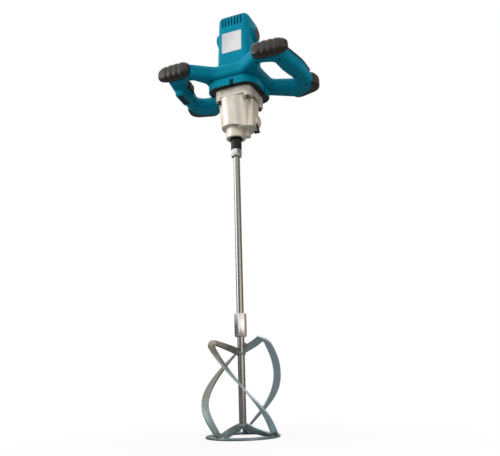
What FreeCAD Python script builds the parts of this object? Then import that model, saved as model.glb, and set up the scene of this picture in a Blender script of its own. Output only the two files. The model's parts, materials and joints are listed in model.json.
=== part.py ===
"""Hand-held mixing drill with two D-handles and a helical mixing paddle.

Lengths are in millimetres and angles in degrees. +Z is up, the front of the
motor faces -Y and the right handle lies at +X. The origin is on the floor
under the middle of the machine's width and depth. The motor axis stands a little
behind it, and the spindle axis a little to the left of the motor axis.
"""
import FreeCAD, Part
import math
import os

# Driving dimensions
column_height = 128.5
nose_level = 600.0
spindle_offset = 10.5
motor_to_layshaft = 18.0
ring_radius = 70.0
rod_radius = 7.0
nose_radius = 21.0
flange_half = 42.0
flange_screw_half = 33.0
handle_half_width = 158.0
handle_half_depth = 100.0
handle_height = 31.5
column_half = 39.5
column_top_half = 36.0
column_shift = 2.2

# Fits and allowances shared by all pieces
overrun = 1.0
running_gap = 0.05
moving_gap = 0.4
fit_gap = 0.2
same_place = 0.01
wall = 3.0

# Heights of the stacked pieces above the gearbox nose
nose_height = 25.0
barrel_height = 52.0
gear_flange_thickness = 12.0
plate_thickness = 11.0
plate_pad_height = 2.0
baffle_thickness = 3.0
band_height = 14.5
groove_height = 4.0
parting_height = 15.5
base_rise = 4.0

barrel_level = nose_level + nose_height
flange_level = barrel_level + barrel_height
plate_level = flange_level + gear_flange_thickness
band_level = plate_level + plate_thickness
baffle_level = band_level + plate_pad_height
post_level = baffle_level + baffle_thickness
groove_level = band_level + band_height
handle_level = groove_level + groove_height
parting_level = handle_level + parting_height
handle_top = handle_level + handle_height
base_top = handle_top + base_rise
top_level = base_top + column_height

spindle_x = -spindle_offset
layshaft_x = motor_to_layshaft
quarter_turn = 90
full_turn = 360


# Plain building shapes

def vec(x, y, z):
    """Return a point or a direction."""
    return FreeCAD.Vector(x, y, z)


def disc(radius, low, high, x=0, y=0):
    """Return an upright cylinder between two levels."""
    return Part.makeCylinder(radius, high - low, vec(x, y, low))


def tube(outer, inner, low, high, x=0, y=0):
    """Return an upright ring between two levels."""
    bore = disc(inner, low - overrun, high + overrun, x, y)
    return disc(outer, low, high, x, y).cut(bore)


def cone(low_radius, high_radius, low, high, x=0, y=0):
    """Return an upright cone between two levels."""
    return Part.makeCone(low_radius, high_radius, high - low, vec(x, y, low))


def bar_x(radius, near, far, y, z):
    """Return a cylinder that lies along X."""
    return Part.makeCylinder(radius, far - near, vec(near, y, z), vec(1, 0, 0))


def bar_y(radius, near, far, x, z):
    """Return a cylinder that lies along Y."""
    return Part.makeCylinder(radius, far - near, vec(x, near, z), vec(0, 1, 0))


def block(x_near, x_far, y_near, y_far, low, high):
    """Return a box between two corners."""
    corner = vec(x_near, y_near, low)
    return Part.makeBox(x_far - x_near, y_far - y_near, high - low, corner)


def fused(shapes):
    """Return several shapes as one solid."""
    return shapes[0].multiFuse(shapes[1:]).removeSplitter()


def turned(shape, angle, x=0, y=0):
    """Return a copy turned about an upright axis."""
    copy = shape.copy()
    copy.rotate(vec(x, y, 0), vec(0, 0, 1), angle)
    return copy


def mirrored(shape):
    """Return the left-hand copy of a right-hand shape."""
    return shape.mirror(vec(0, 0, 0), vec(1, 0, 0))


def rounded_loop(points, level):
    """Return a closed wire whose corners (x, y, radius) are rounded."""
    corners = [vec(x, y, level) for x, y, radius in points]
    edges = []
    ends = []
    for index, corner in enumerate(corners):
        radius = points[index][2]
        back = corners[index - 1].sub(corner).normalize()
        ahead = corners[(index + 1) % len(corners)].sub(corner).normalize()
        half_turn = back.getAngle(ahead) / 2
        reach = radius / math.tan(half_turn)
        inward = back.add(ahead).normalize()
        middle = corner.add(inward * (radius / math.sin(half_turn) - radius))
        ends.append((corner.add(back * reach), middle, corner.add(ahead * reach)))
    for index, (start, middle, end) in enumerate(ends):
        edges.append(Part.Arc(start, middle, end).toShape())
        edges.append(Part.makeLine(end, ends[(index + 1) % len(ends)][0]))
    return Part.Wire(edges)


def rounded_square(half, corner, level):
    """Return a square wire with rounded corners round the motor axis."""
    signs = ((-1, -1), (1, -1), (1, 1), (-1, 1))
    return rounded_loop([(sx * half, sy * half, corner) for sx, sy in signs], level)


def prism(wire, height):
    """Return the upright prism over a flat wire."""
    return Part.Face(wire).extrude(vec(0, 0, height))


def square_prism(half, corner, low, high):
    """Return an upright prism with a rounded square section."""
    return prism(rounded_square(half, corner, low), high - low)


def hexagon(flats, low, high, x, y):
    """Return a hexagonal prism with its corners turned off at both ends."""
    corner_radius = flats / math.sqrt(3)
    bevel = corner_radius - flats / 2
    steps = [math.radians(full_turn * step / 6) for step in range(7)]
    points = [vec(x + corner_radius * math.cos(turn), y + corner_radius * math.sin(turn), low)
              for turn in steps]
    body = prism(Part.makePolygon(points), high - low)
    round_bar = disc(corner_radius, low, high, x, y)
    rims = [edge for edge in round_bar.Edges if edge.Closed]
    return body.common(round_bar.makeChamfer(bevel, rims))


def edges_at(shape, level):
    """Return the edges of a shape that lie flat at a level."""
    return [edge for edge in shape.Edges
            if abs(edge.BoundBox.ZMin - level) < same_place
            and abs(edge.BoundBox.ZMax - level) < same_place]


def at_four(place):
    """Return the four copies of a place (x, y) by quarter turns."""
    x, y = place
    return ((x, y), (-y, x), (-x, -y), (y, -x))


# Toothed wheels

pressure_angle = math.radians(20)
addendum_share = 0.72
dedendum_share = 1.15
tooth_share = 0.38
flank_shares = (0, 0.35, 0.7, 1)


def gear(teeth, module, low, high, x, first_tooth):
    """Return an involute spur wheel with one tooth centred at an angle."""
    pitch_radius = teeth * module / 2
    base_radius = pitch_radius * math.cos(pressure_angle)
    tip_radius = pitch_radius + addendum_share * module
    root_radius = pitch_radius - dedendum_share * module
    foot_radius = max(base_radius, root_radius)
    involute = math.tan(pressure_angle) - pressure_angle
    half_tooth = math.pi * tooth_share / teeth + involute

    def half_angle(radius):
        """Return half the tooth's angle at a radius."""
        roll = math.acos(min(1, base_radius / radius))
        return half_tooth - (math.tan(roll) - roll)

    flank = [(root_radius, half_angle(foot_radius))]
    for share in flank_shares:
        radius = foot_radius + share * (tip_radius - foot_radius)
        flank.append((radius, half_angle(radius)))
    points = []
    for tooth in range(teeth):
        centre = math.radians(first_tooth) + 2 * math.pi * tooth / teeth
        outline = [(radius, centre - half) for radius, half in flank]
        outline += [(radius, centre + half) for radius, half in reversed(flank)]
        points += [vec(x + r * math.cos(turn), r * math.sin(turn), low) for r, turn in outline]
    return prism(Part.makePolygon(points + points[:1]), high - low)


# Rolling bearings

race_groove_depth = 0.6
race_groove_shares = (0.36, 0.64)


def bearing(outer, inner, low, high, x):
    """Return a ball bearing as a ring with a grooved shield on each face."""
    span = outer - inner
    near, far = [inner + span * share for share in race_groove_shares]
    ring = tube(outer, inner, low, high, x)
    for groove_low, groove_high in ((low - overrun, low + race_groove_depth),
                                    (high - race_groove_depth, high + overrun)):
        ring = ring.cut(tube(far, near, groove_low, groove_high, x))
    return ring


# Mixing paddle: ring, shaft, three twisted strip blades, coupling and rod

ring_width = 15.0
ring_thickness = 4.0
ring_edge = 1.2
shaft_foot = 15.0
shaft_bevel = 1.5
coupling_level = 185.0
coupling_length = 45.0
coupling_flats = 21.0
coupling_turn = 33.0
coupling_middle_share = 0.5
nut_height = 16.0
nut_flats = 21.0
spindle_nose_length = 24.0
stud_length = 20.0

strip_width = 13.8
strip_thickness = 3.4
blade_weld_level = 158.0
blade_top_level = 182.0
blade_top_inset = 1.8
blade_low_inset = 5.5
blade_low_drop = 2.4
blade_foot_level = 21.0
blade_bulge = 4.8
blade_bulge_skew = 1.6
blade_top_corner = 10.4
blade_low_corner = 7.0
blade_lean = 1.6
# The three blades are bent and welded by hand: angle at the top, twist and lift of each
blade_angles = (330.6, 230.6, 105.3)
blade_twists = (143.2, 130.5, 149.7)
blade_lifts = (0.0, -4.8, -5.3)
leg_sections = 4
corner_sections = 5
sweep_sections = 13

blade_top_radius = ring_radius - blade_top_inset
blade_low_radius = ring_radius - blade_low_inset
blade_low_level = ring_thickness - blade_low_drop
spindle_level = nose_level - spindle_nose_length
nut_level = spindle_level - nut_height
coupling_top = coupling_level + coupling_length
coupling_middle = coupling_level + coupling_middle_share * coupling_length


def paddle_ring():
    """Return the flat foot ring of the paddle."""
    ring = tube(ring_radius, ring_radius - ring_width, 0, ring_thickness, spindle_x)
    return ring.makeFillet(ring_edge, [edge for edge in ring.Edges if edge.Closed])


def paddle_shaft():
    """Return the paddle's round shaft with a bevelled lower end."""
    shaft = disc(rod_radius, shaft_foot, coupling_middle, spindle_x)
    return shaft.makeChamfer(shaft_bevel, edges_at(shaft, shaft_foot))


def corner_arc(corner, arrive, leave, bend):
    """Return the rounded turn of the strip as (radius, level, normal) places."""
    turn = math.acos(arrive[0] * leave[0] + arrive[1] * leave[1])
    reach = bend * math.tan(turn / 2)
    normal = (-arrive[1], arrive[0])
    start = (corner[0] - arrive[0] * reach, corner[1] - arrive[1] * reach)
    centre = (start[0] - normal[0] * bend, start[1] - normal[1] * bend)
    places = []
    for step in range(corner_sections):
        angle = -turn * step / (corner_sections - 1)
        n_r = normal[0] * math.cos(angle) - normal[1] * math.sin(angle)
        n_z = normal[0] * math.sin(angle) + normal[1] * math.cos(angle)
        places.append((centre[0] + bend * n_r, centre[1] + bend * n_z, n_r, n_z))
    return places


def straight_leg(start, end, sections, bulge):
    """Return a leg of the strip, swelling outwards between its ends."""
    length = math.hypot(end[0] - start[0], end[1] - start[1])
    u_r, u_z = (end[0] - start[0]) / length, (end[1] - start[1]) / length
    places = []
    for step in range(sections):
        share = step / (sections - 1)
        bent = share ** blade_bulge_skew
        swell = bulge * math.sin(math.pi * bent) ** 2
        slope = bulge * math.pi * math.sin(2 * math.pi * bent) / length
        slope *= blade_bulge_skew * share ** (blade_bulge_skew - 1)
        t_r, t_z = u_r - u_z * slope, u_z + u_r * slope
        size = math.hypot(t_r, t_z)
        places.append((start[0] + u_r * length * share - u_z * swell,
                       start[1] + u_z * length * share + u_r * swell,
                       -t_z / size, t_r / size))
    return places


def strip_section(place, blade):
    """Return the strip's flat cross-section, lying in the blade's screw surface."""
    radius, level, n_r, n_z = place
    height = blade_top_level + blade_lifts[blade] - blade_low_level
    rate = math.radians(blade_twists[blade]) / height
    fall = blade_top_level + blade_lifts[blade] - level
    turn = math.radians(blade_angles[blade]) + rate * fall
    lean = math.atan(blade_lean * rate * radius)
    outward = vec(math.cos(turn), math.sin(turn), 0)
    around = vec(-math.sin(turn), math.cos(turn), 0)
    upward = vec(0, 0, 1)
    centre = vec(spindle_x, 0, level).add(outward * radius)
    across = (outward * n_r).add((upward * math.cos(lean)).sub(around * math.sin(lean)) * n_z)
    through = (around * math.cos(lean)).add(upward * math.sin(lean))
    points = []
    for side, face in ((1, 1), (1, -1), (-1, -1), (-1, 1), (1, 1)):
        point = centre.add(across * (side * strip_width / 2))
        points.append(point.add(through * (face * strip_thickness / 2)))
    return Part.makePolygon(points)


def direction(start, end):
    """Return the unit direction between two flat places."""
    length = math.hypot(end[0] - start[0], end[1] - start[1])
    return ((end[0] - start[0]) / length, (end[1] - start[1]) / length)


def paddle_blade(blade, ring):
    """Return one blade: a strip frame twisted round the shaft and welded to it."""
    weld = (0, blade_weld_level + blade_lifts[blade])
    top = (blade_top_radius, blade_top_level + blade_lifts[blade])
    low = (blade_low_radius, blade_low_level)
    foot = (0, blade_foot_level)
    top_arc = corner_arc(top, direction(weld, top), direction(top, low), blade_top_corner)
    low_arc = corner_arc(low, direction(top, low), direction(low, foot), blade_low_corner)
    legs = [straight_leg(weld, top_arc[0], leg_sections, 0), top_arc,
            straight_leg(top_arc[-1], low_arc[0], sweep_sections, blade_bulge), low_arc,
            straight_leg(low_arc[-1], foot, leg_sections, 0)]
    pieces = [Part.makeLoft([strip_section(place, blade) for place in leg], True, False)
              for leg in legs]
    shaft_room = disc(rod_radius, 0, coupling_middle, spindle_x)
    floor_room = tube(ring_radius + strip_width, rod_radius, -strip_width, ring_thickness / 2, spindle_x)
    return fused(pieces).cut(shaft_room).cut(ring).cut(floor_room)


def rod_coupling():
    """Return the hexagonal sleeve that joins the rod and the paddle shaft."""
    sleeve = turned(hexagon(coupling_flats, coupling_level, coupling_top, spindle_x, 0), coupling_turn, spindle_x)
    return sleeve.cut(disc(rod_radius, coupling_level - overrun, coupling_top + overrun, spindle_x))


def mixing_rod():
    """Return the long rod from the coupling up into the spindle."""
    return disc(rod_radius, coupling_middle, spindle_level + stud_length, spindle_x)


def rod_nut():
    """Return the hexagonal lock nut under the spindle."""
    nut = hexagon(nut_flats, nut_level, spindle_level, spindle_x, 0)
    return nut.cut(disc(rod_radius, nut_level - overrun, spindle_level + overrun, spindle_x))


# Spindle and the two-stage reduction gear

spindle_radius = 11.5
spindle_edge = 0.8
journal_radius = 8.5
gear_seat_radius = 8.0
seal_depth = 6.0
seal_ring_depth = 1.2
spindle_bearing_outer = 17.5
spindle_bearing_width = 10.0
lower_bearing_rise = 8.0
upper_bearing_rise = 24.0
spindle_gear_rise = 37.0
spindle_gear_width = 14.0
spindle_end_length = 3.0
circlip_thickness = 1.4
circlip_span = 2.4
circlip_mouth = 4.0
key_width = 5.0
key_height = 5.0
key_inset = 2.0

spindle_teeth = 38
layshaft_pinion_teeth = 10
layshaft_gear_teeth = 42
motor_pinion_teeth = 8
first_module = 2 * motor_to_layshaft / (layshaft_gear_teeth + motor_pinion_teeth)
second_module = (2 * (motor_to_layshaft + spindle_offset)
                 / (spindle_teeth + layshaft_pinion_teeth))

layshaft_radius = 4.0
layshaft_collar = 5.0
layshaft_bearing_outer = 9.5
layshaft_bearing_width = 6.0
layshaft_floor = 3.0
chamber_drop = 7.0
pinion_overhang = 2.0
layshaft_gear_lift = 5.0
layshaft_gear_width = 10.0

lower_bearing_level = nose_level + lower_bearing_rise
upper_bearing_level = nose_level + upper_bearing_rise
upper_bearing_top = upper_bearing_level + spindle_bearing_width
seal_level = nose_level + seal_ring_depth
seal_top = seal_level + seal_depth
spindle_gear_level = nose_level + spindle_gear_rise
spindle_gear_top = spindle_gear_level + spindle_gear_width
chamber_level = barrel_level - chamber_drop
layshaft_bearing_level = chamber_level + layshaft_floor
layshaft_pinion_level = spindle_gear_level - pinion_overhang
layshaft_pinion_top = spindle_gear_top + pinion_overhang
layshaft_gear_level = layshaft_pinion_top + layshaft_gear_lift
layshaft_gear_top = layshaft_gear_level + layshaft_gear_width
layshaft_upper_level = plate_level


def spindle_key():
    """Return the key between the spindle and its gear."""
    return block(spindle_x - key_width / 2, spindle_x + key_width / 2,
                 gear_seat_radius - key_height / 2, gear_seat_radius + key_height / 2,
                 spindle_gear_level + key_inset, spindle_gear_top - key_inset)


def output_spindle(key):
    """Return the stepped spindle with its threaded socket."""
    nose = disc(spindle_radius, spindle_level, seal_top, spindle_x)
    nose = nose.makeChamfer(spindle_edge, edges_at(nose, spindle_level))
    journal = disc(journal_radius, seal_top, upper_bearing_top, spindle_x)
    seat = disc(gear_seat_radius, upper_bearing_top, spindle_gear_top + spindle_end_length, spindle_x)
    socket = disc(rod_radius, spindle_level - overrun, spindle_level + stud_length, spindle_x)
    return fused([nose, journal, seat]).cut(socket).cut(key)


def spindle_gear(key):
    """Return the large wheel on the spindle."""
    wheel = gear(spindle_teeth, second_module, spindle_gear_level, spindle_gear_top, spindle_x, 0)
    bore = disc(gear_seat_radius, spindle_gear_level - overrun, spindle_gear_top + overrun, spindle_x)
    return wheel.cut(bore).cut(key)


def spindle_circlip():
    """Return the open spring ring that holds the wheel on the spindle."""
    ring = tube(gear_seat_radius + circlip_span, gear_seat_radius,
                spindle_gear_top, spindle_gear_top + circlip_thickness, spindle_x)
    mouth = block(spindle_x - circlip_mouth / 2, spindle_x + circlip_mouth / 2,
                  -gear_seat_radius - circlip_span - overrun, 0,
                  spindle_gear_top - overrun, spindle_gear_top + circlip_thickness + overrun)
    return ring.cut(mouth)


def spindle_bearing(low):
    """Return one of the two bearings that carry the spindle."""
    return bearing(spindle_bearing_outer, journal_radius + running_gap,
                   low, low + spindle_bearing_width, spindle_x)


def oil_seal():
    """Return the rubber lip seal in the gearbox nose."""
    return tube(spindle_bearing_outer, spindle_radius + running_gap, seal_level, seal_top, spindle_x)


def seal_ring():
    """Return the plated ring that keeps the seal in the nose."""
    return tube(spindle_bearing_outer, spindle_radius + wall, nose_level, seal_level, spindle_x)


def layshaft():
    """Return the intermediate shaft with the pinion cut on it."""
    teeth = gear(layshaft_pinion_teeth, second_module, layshaft_pinion_level, layshaft_pinion_top,
                 layshaft_x, full_turn / 2 + full_turn / 2 / layshaft_pinion_teeth)
    lower = disc(layshaft_radius, layshaft_bearing_level,
                 layshaft_bearing_level + layshaft_bearing_width, layshaft_x)
    collar = disc(layshaft_collar, layshaft_bearing_level + layshaft_bearing_width,
                  layshaft_gear_top, layshaft_x)
    upper = disc(layshaft_radius, layshaft_gear_top,
                 layshaft_upper_level + layshaft_bearing_width, layshaft_x)
    return fused([teeth, lower, collar, upper])


def layshaft_gear():
    """Return the wheel that the motor pinion drives."""
    wheel = gear(layshaft_gear_teeth, first_module, layshaft_gear_level, layshaft_gear_top,
                 layshaft_x, full_turn / 2)
    bore = disc(layshaft_collar, layshaft_gear_level - overrun, layshaft_gear_top + overrun, layshaft_x)
    return wheel.cut(bore)


def layshaft_bearing(low):
    """Return one of the two bearings that carry the intermediate shaft."""
    return bearing(layshaft_bearing_outer, layshaft_radius + running_gap,
                   low, low + layshaft_bearing_width, layshaft_x)


# Cast gearbox: housing with barrel, side chamber and nose, and the bearing plate

flange_corner = 15.0
barrel_radius = 29.5
barrel_left_corner = 29.0
barrel_right = 27.0
barrel_right_corner = 22.0
flare_inset = 0.5
flare_left_corner = 30.0
flare_right = 30.0
flare_right_corner = 26.0
arch_inset = 0.5
arch_spread = 9.0
flange_rim = 6.0
lug_radius = 9.0
lug_pocket_radius = 6.5
gear_room_gap = 1.6
chamber_half_depth = 19.5
chamber_low_half_depth = 18.0
chamber_inset = 4.0
chamber_draft = 2.0
chamber_corner = 7.0
nose_edge = 1.5
spur_radius = 8.5
spur_x = 11.0
spur_y = 9.0
spur_drop = 13.0
web_radius = 13.0
selector_y = 6.0
selector_rise = 34.0
selector_pad_radius = 13.0
selector_pad_proud = 1.0
plate_pad_inset = 2.0
plate_edge = 1.0
seam_edge = 0.7
bearing_boss_radius = 17.0
motor_bearing_outer = 13.0
motor_bearing_width = 8.0
motor_bearing_rim = 2.0
motor_shaft_radius = 5.0
pinion_shaft_radius = 4.4
pinion_hole_radius = 6.0
screw_radius = 2.5
screw_clearance = 0.3

selector_level = nose_level + selector_rise
selector_pad_x = flange_half - chamber_inset - chamber_draft + selector_pad_proud
motor_bearing_level = baffle_level
motor_bearing_top = motor_bearing_level + motor_bearing_width
boss_top = motor_bearing_top + motor_bearing_rim
screw_places = at_four((flange_screw_half, flange_screw_half))
spindle_room = spindle_teeth * second_module / 2 + second_module + gear_room_gap
layshaft_room = layshaft_gear_teeth * first_module / 2 + first_module + gear_room_gap / 2


def side_chamber():
    """Return the boxy swelling of the casting round the intermediate shaft."""
    loops = []
    top_reach = flange_half - chamber_inset
    for half, reach, level in ((chamber_low_half_depth, top_reach - chamber_draft, chamber_level),
                               (chamber_half_depth, top_reach, flange_level + overrun)):
        points = [(0, -half, chamber_corner), (reach, -half, chamber_corner),
                  (reach, half, chamber_corner), (0, half, chamber_corner)]
        loops.append(rounded_loop(points, level))
    return Part.makeLoft(loops, True, True)


def barrel():
    """Return the barrel, round on the spindle's side, that flares out to the flange and is arched below."""
    flare = flange_half - flare_inset
    loops = []
    for left, right, half, left_corner, right_corner, level in (
            (spindle_x - barrel_radius, barrel_right, barrel_radius,
             barrel_left_corner, barrel_right_corner, chamber_level),
            (-flare, flare_right, flare, flare_left_corner, flare_right_corner, plate_level - flange_rim)):
        loops.append(rounded_loop([(left, -half, left_corner), (right, -half, right_corner),
                                   (right, half, right_corner), (left, half, left_corner)], level))
    arch_top = barrel_radius - arch_inset
    arch = cone(arch_top + arch_spread, arch_top, barrel_level - arch_spread, barrel_level, spindle_x)
    return Part.makeLoft(loops, True, True).cut(arch)


def gear_housing():
    """Return the cast housing that holds the gears and the spindle bearings."""
    rim_level = plate_level - flange_rim
    plan = square_prism(flange_half, flange_corner, flange_level, plate_level)
    plan = plan.makeChamfer(seam_edge, edges_at(plan, plate_level))
    rim = square_prism(flange_half, flange_corner, rim_level, plate_level)
    pockets = [disc(lug_pocket_radius, nose_level, flange_level, x, y) for x, y in screw_places]
    nose = disc(nose_radius, nose_level, barrel_level + overrun, spindle_x)
    nose = nose.makeChamfer(nose_edge, edges_at(nose, nose_level))
    pieces = [
        rim.makeChamfer(seam_edge, edges_at(rim, plate_level)),
        barrel().cut(fused(pockets)),
        nose,
        side_chamber(),
        disc(spur_radius, chamber_level - spur_drop, barrel_level, spur_x, spur_y),
        bar_x(selector_pad_radius, layshaft_x, selector_pad_x, selector_y, selector_level),
    ]
    pieces += [disc(lug_radius, flange_level, plate_level, x, y).common(plan) for x, y in screw_places]
    rooms = [
        disc(spindle_bearing_outer, nose_level - overrun,
             lower_bearing_level + spindle_bearing_width, spindle_x),
        disc(web_radius, nose_level, plate_level, spindle_x),
        disc(spindle_bearing_outer, upper_bearing_level, plate_level, spindle_x),
        disc(spindle_room, upper_bearing_top, plate_level + overrun, spindle_x),
        disc(layshaft_bearing_outer, layshaft_bearing_level, plate_level + overrun, layshaft_x),
        disc(layshaft_room, layshaft_pinion_top, plate_level + overrun, layshaft_x),
    ]
    holes = [disc(screw_radius + screw_clearance, flange_level - overrun, plate_level + overrun, x, y)
             for x, y in screw_places]
    return fused(pieces).cut(fused(rooms)).cut(fused(holes))


def bearing_plate():
    """Return the upper half of the gearbox flange with the motor bearing's seat."""
    plate = square_prism(flange_half, flange_corner, plate_level, band_level)
    plate = plate.makeFillet(plate_edge, edges_at(plate, band_level))
    plate = plate.makeChamfer(seam_edge, edges_at(plate, plate_level))
    pad = square_prism(flange_half - plate_pad_inset, flange_corner - plate_pad_inset,
                       band_level - overrun, baffle_level)
    boss = disc(bearing_boss_radius, band_level, boss_top)
    rooms = [
        disc(pinion_hole_radius, plate_level - overrun, boss_top + overrun),
        disc(motor_bearing_outer, motor_bearing_level, boss_top + overrun),
        disc(layshaft_bearing_outer, plate_level - overrun,
             layshaft_upper_level + layshaft_bearing_width, layshaft_x),
    ]
    rooms += [disc(screw_radius + screw_clearance, plate_level - overrun, baffle_level + overrun, x, y)
              for x, y in screw_places]
    body = fused([plate, pad, boss])
    for room in rooms:
        body = body.cut(room)
    return body


screw_head_radius = 4.2
screw_head_height = 5.0
screw_reach = 18.0
socket_flats = 4.0
socket_depth = 3.0


def gearbox_screws():
    """Return the four socket screws that hold the gearbox to the motor."""
    low = flange_level - screw_head_height
    screws = []
    for x, y in screw_places:
        head = disc(screw_head_radius, low, flange_level, x, y)
        shank = disc(screw_radius, flange_level - overrun, post_level + screw_reach, x, y)
        socket = hexagon(socket_flats, low - overrun, low + socket_depth, x, y)
        screws.append(fused([head, shank]).cut(socket))
    return Part.makeCompound(screws)


# Two-speed selector on the side of the gearbox

cap_radius = 12.5
cap_wall = 2.2
cap_rim = 3.4
cap_dome = 4.0
lever_thickness = 2.4
lever_width = 8.0
lever_reach = 22.0
lever_swing = 25.0
tab_inner_length = 8.0
tab_outer_length = 4.0
tab_thickness = 3.0
lever_pin_radius = 2.0
lever_pin_length = 5.0

lever_hub_radius = cap_radius - cap_wall - moving_gap
lever_x = selector_pad_x + moving_gap


def lever_arm(extra):
    """Return the lever's straight arm, widened by an allowance."""
    return block(lever_x - extra, lever_x + lever_thickness + extra,
                 selector_y - lever_width / 2 - extra, selector_y + lever_width / 2 + extra,
                 selector_level - lever_reach, selector_level)


def selector_cap():
    """Return the domed cap over the lever's hub, slotted where the lever swings."""
    body = bar_x(cap_radius, selector_pad_x, selector_pad_x + cap_rim, selector_y, selector_level)
    sphere_radius = (cap_radius ** 2 + cap_dome ** 2) / (2 * cap_dome)
    centre_x = selector_pad_x + cap_rim + cap_dome - sphere_radius
    dome = Part.makeSphere(sphere_radius, vec(centre_x, selector_y, selector_level))
    shell = bar_x(cap_radius, selector_pad_x + cap_rim, selector_pad_x + cap_rim + cap_dome,
                  selector_y, selector_level)
    body = fused([body, shell.common(dome)])
    room = bar_x(cap_radius - cap_wall, selector_pad_x - overrun,
                 lever_x + lever_thickness + moving_gap, selector_y, selector_level)
    body = body.cut(room)
    slot = lever_arm(moving_gap)
    for swing in (-lever_swing, 0, lever_swing):
        turned_slot = slot.copy()
        turned_slot.rotate(vec(lever_x, selector_y, selector_level), vec(1, 0, 0), swing)
        body = body.cut(turned_slot)
    return body


def selector_lever():
    """Return the black speed lever with its hub, pivot pin and thumb tab."""
    hub = bar_x(lever_hub_radius, lever_x, lever_x + lever_thickness, selector_y, selector_level)
    tip = selector_level - lever_reach
    tab = block(lever_x - tab_inner_length, lever_x + tab_outer_length, selector_y - lever_width / 2,
                selector_y + lever_width / 2, tip - tab_thickness, tip)
    pin = bar_x(lever_pin_radius, lever_x - lever_pin_length, lever_x, selector_y, selector_level)
    return fused([hub, lever_arm(0), tab, pin])


def selector_bore():
    """Return the hole in the gearbox that the lever's pin turns in."""
    return bar_x(lever_pin_radius + running_gap, lever_x - lever_pin_length - moving_gap,
                 selector_pad_x + overrun, selector_y, selector_level)


# Motor housing: band, groove, base, drafted column and domed top

band_half = 57.0
band_corner = 30.0
groove_inset = 2.0
base_half = 46.0
base_corner = 16.0
base_edge = 3.0
column_corner = 14.0
dome_radius = 12.0
dome_sections = 7
dome_corner_least = 1.5
post_radius = 9.5
column_wall = 2.5
stator_corner = 12.0
top_room_step = 4.0
top_room_half = 22.0
top_room_corner = 8.0
top_wall = 6.0
notch_shift = 7.0
notch_screw_inset = 4.5
notch_width = 9.0
notch_depth = 7.5
notch_height = 11.0
hub_screw_radius = 1.8
vent_count = 7
vent_pitch = 7.2
vent_width = 3.6
vent_drop = 29.0
vent_reach = 20.0
panel_shift = 1.0
brush_boss_radius = 17.0
brush_boss_proud = 6.0
brush_boss_edge = 2.0
cap_seat_depth = 3.0
brush_cap_radius = 14.0
holder_half = 6.5
upper_motor_bearing_outer = 11.0
upper_motor_bearing_width = 7.0
upper_motor_bearing_drop = 24.0
commutator_gap = 5.0
commutator_length = 25.0
upper_boss_wall = 3.0
upper_journal_radius = 4.0

neck_half = band_half - groove_inset
recess_half = band_half - wall
stator_room_half = column_top_half - column_shift - column_wall
stator_half = stator_room_half - fit_gap
dome_level = top_level - dome_radius
top_room_top = top_level - top_wall
vent_level = top_level - vent_drop
upper_motor_bearing_level = top_level - upper_motor_bearing_drop
stator_room_top = upper_motor_bearing_level - top_room_step
commutator_top = upper_motor_bearing_level - commutator_gap
commutator_low = commutator_top - commutator_length
brush_level = (commutator_low + commutator_top) / 2
brush_boss_x = column_half + brush_boss_proud
notch_places = at_four((notch_shift, notch_screw_inset - band_half))
upper_motor_bearing_top = upper_motor_bearing_level + upper_motor_bearing_width
upper_boss_radius = upper_motor_bearing_outer + upper_boss_wall
cap_seat_x = brush_boss_x - cap_seat_depth


def column_face(level):
    """Return how far the column's flat front stands from the motor axis."""
    share = (level - base_top) / (dome_level - base_top)
    return column_half + (column_top_half - column_half) * share


def column_shell():
    """Return the drafted column with its domed top."""
    column = Part.makeLoft([rounded_square(column_half, column_corner, base_top),
                            rounded_square(column_top_half, column_corner, dome_level)], True, True)
    loops = []
    for step in range(dome_sections):
        angle = math.radians(quarter_turn * step / (dome_sections - 1))
        inset = dome_radius * (1 - math.cos(angle))
        corner = max(column_corner - inset, dome_corner_least)
        loops.append(rounded_square(column_top_half - inset, corner,
                                    dome_level + dome_radius * math.sin(angle)))
    dome = Part.makeLoft(loops, True, False)
    for shape in (column, dome):
        shape.translate(vec(column_shift, 0, 0))
    return column, dome


def notches():
    """Return the four upright notches in the band that give room to the hub screws."""
    cut = block(notch_shift - notch_width / 2, notch_shift + notch_width / 2,
                -band_half - overrun, -band_half + notch_depth,
                band_level - overrun, band_level + notch_height)
    return [turned(cut, quarter_turn * side) for side in range(4)]


def motor_housing():
    """Return the moulded housing that carries the motor and the handles."""
    base = square_prism(base_half, base_corner, handle_level, base_top)
    base = base.makeFillet(base_edge, edges_at(base, base_top))
    column, dome = column_shell()
    boss = bar_x(brush_boss_radius, -brush_boss_x, brush_boss_x, 0, brush_level)
    boss = boss.makeFillet(brush_boss_edge, [edge for edge in boss.Edges
                                             if edge.Closed and len(edge.Vertexes) == 1])
    outer = fused([square_prism(band_half, band_corner, band_level, groove_level),
                   square_prism(neck_half, band_corner, groove_level, handle_level),
                   base, column, dome, boss])
    fan_room = square_prism(base_half - wall, base_corner - wall, post_level - overrun, base_top - wall)
    for x, y in screw_places:
        fan_room = fan_room.cut(disc(post_radius, post_level - overrun, base_top, x, y))
    top_room = square_prism(top_room_half, top_room_corner, stator_room_top - overrun, top_room_top)
    top_room = top_room.cut(disc(upper_boss_radius, upper_motor_bearing_level - overrun, top_level))
    rooms = [square_prism(recess_half, band_corner - wall, band_level - overrun, post_level),
             fan_room,
             square_prism(stator_room_half, stator_corner + fit_gap,
                          base_top - wall - overrun, stator_room_top),
             top_room,
             disc(upper_motor_bearing_outer, upper_motor_bearing_level - overrun,
                  upper_motor_bearing_top)]
    for room in rooms:
        outer = outer.cut(room)
    return outer.cut(fused(housing_openings()))


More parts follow.
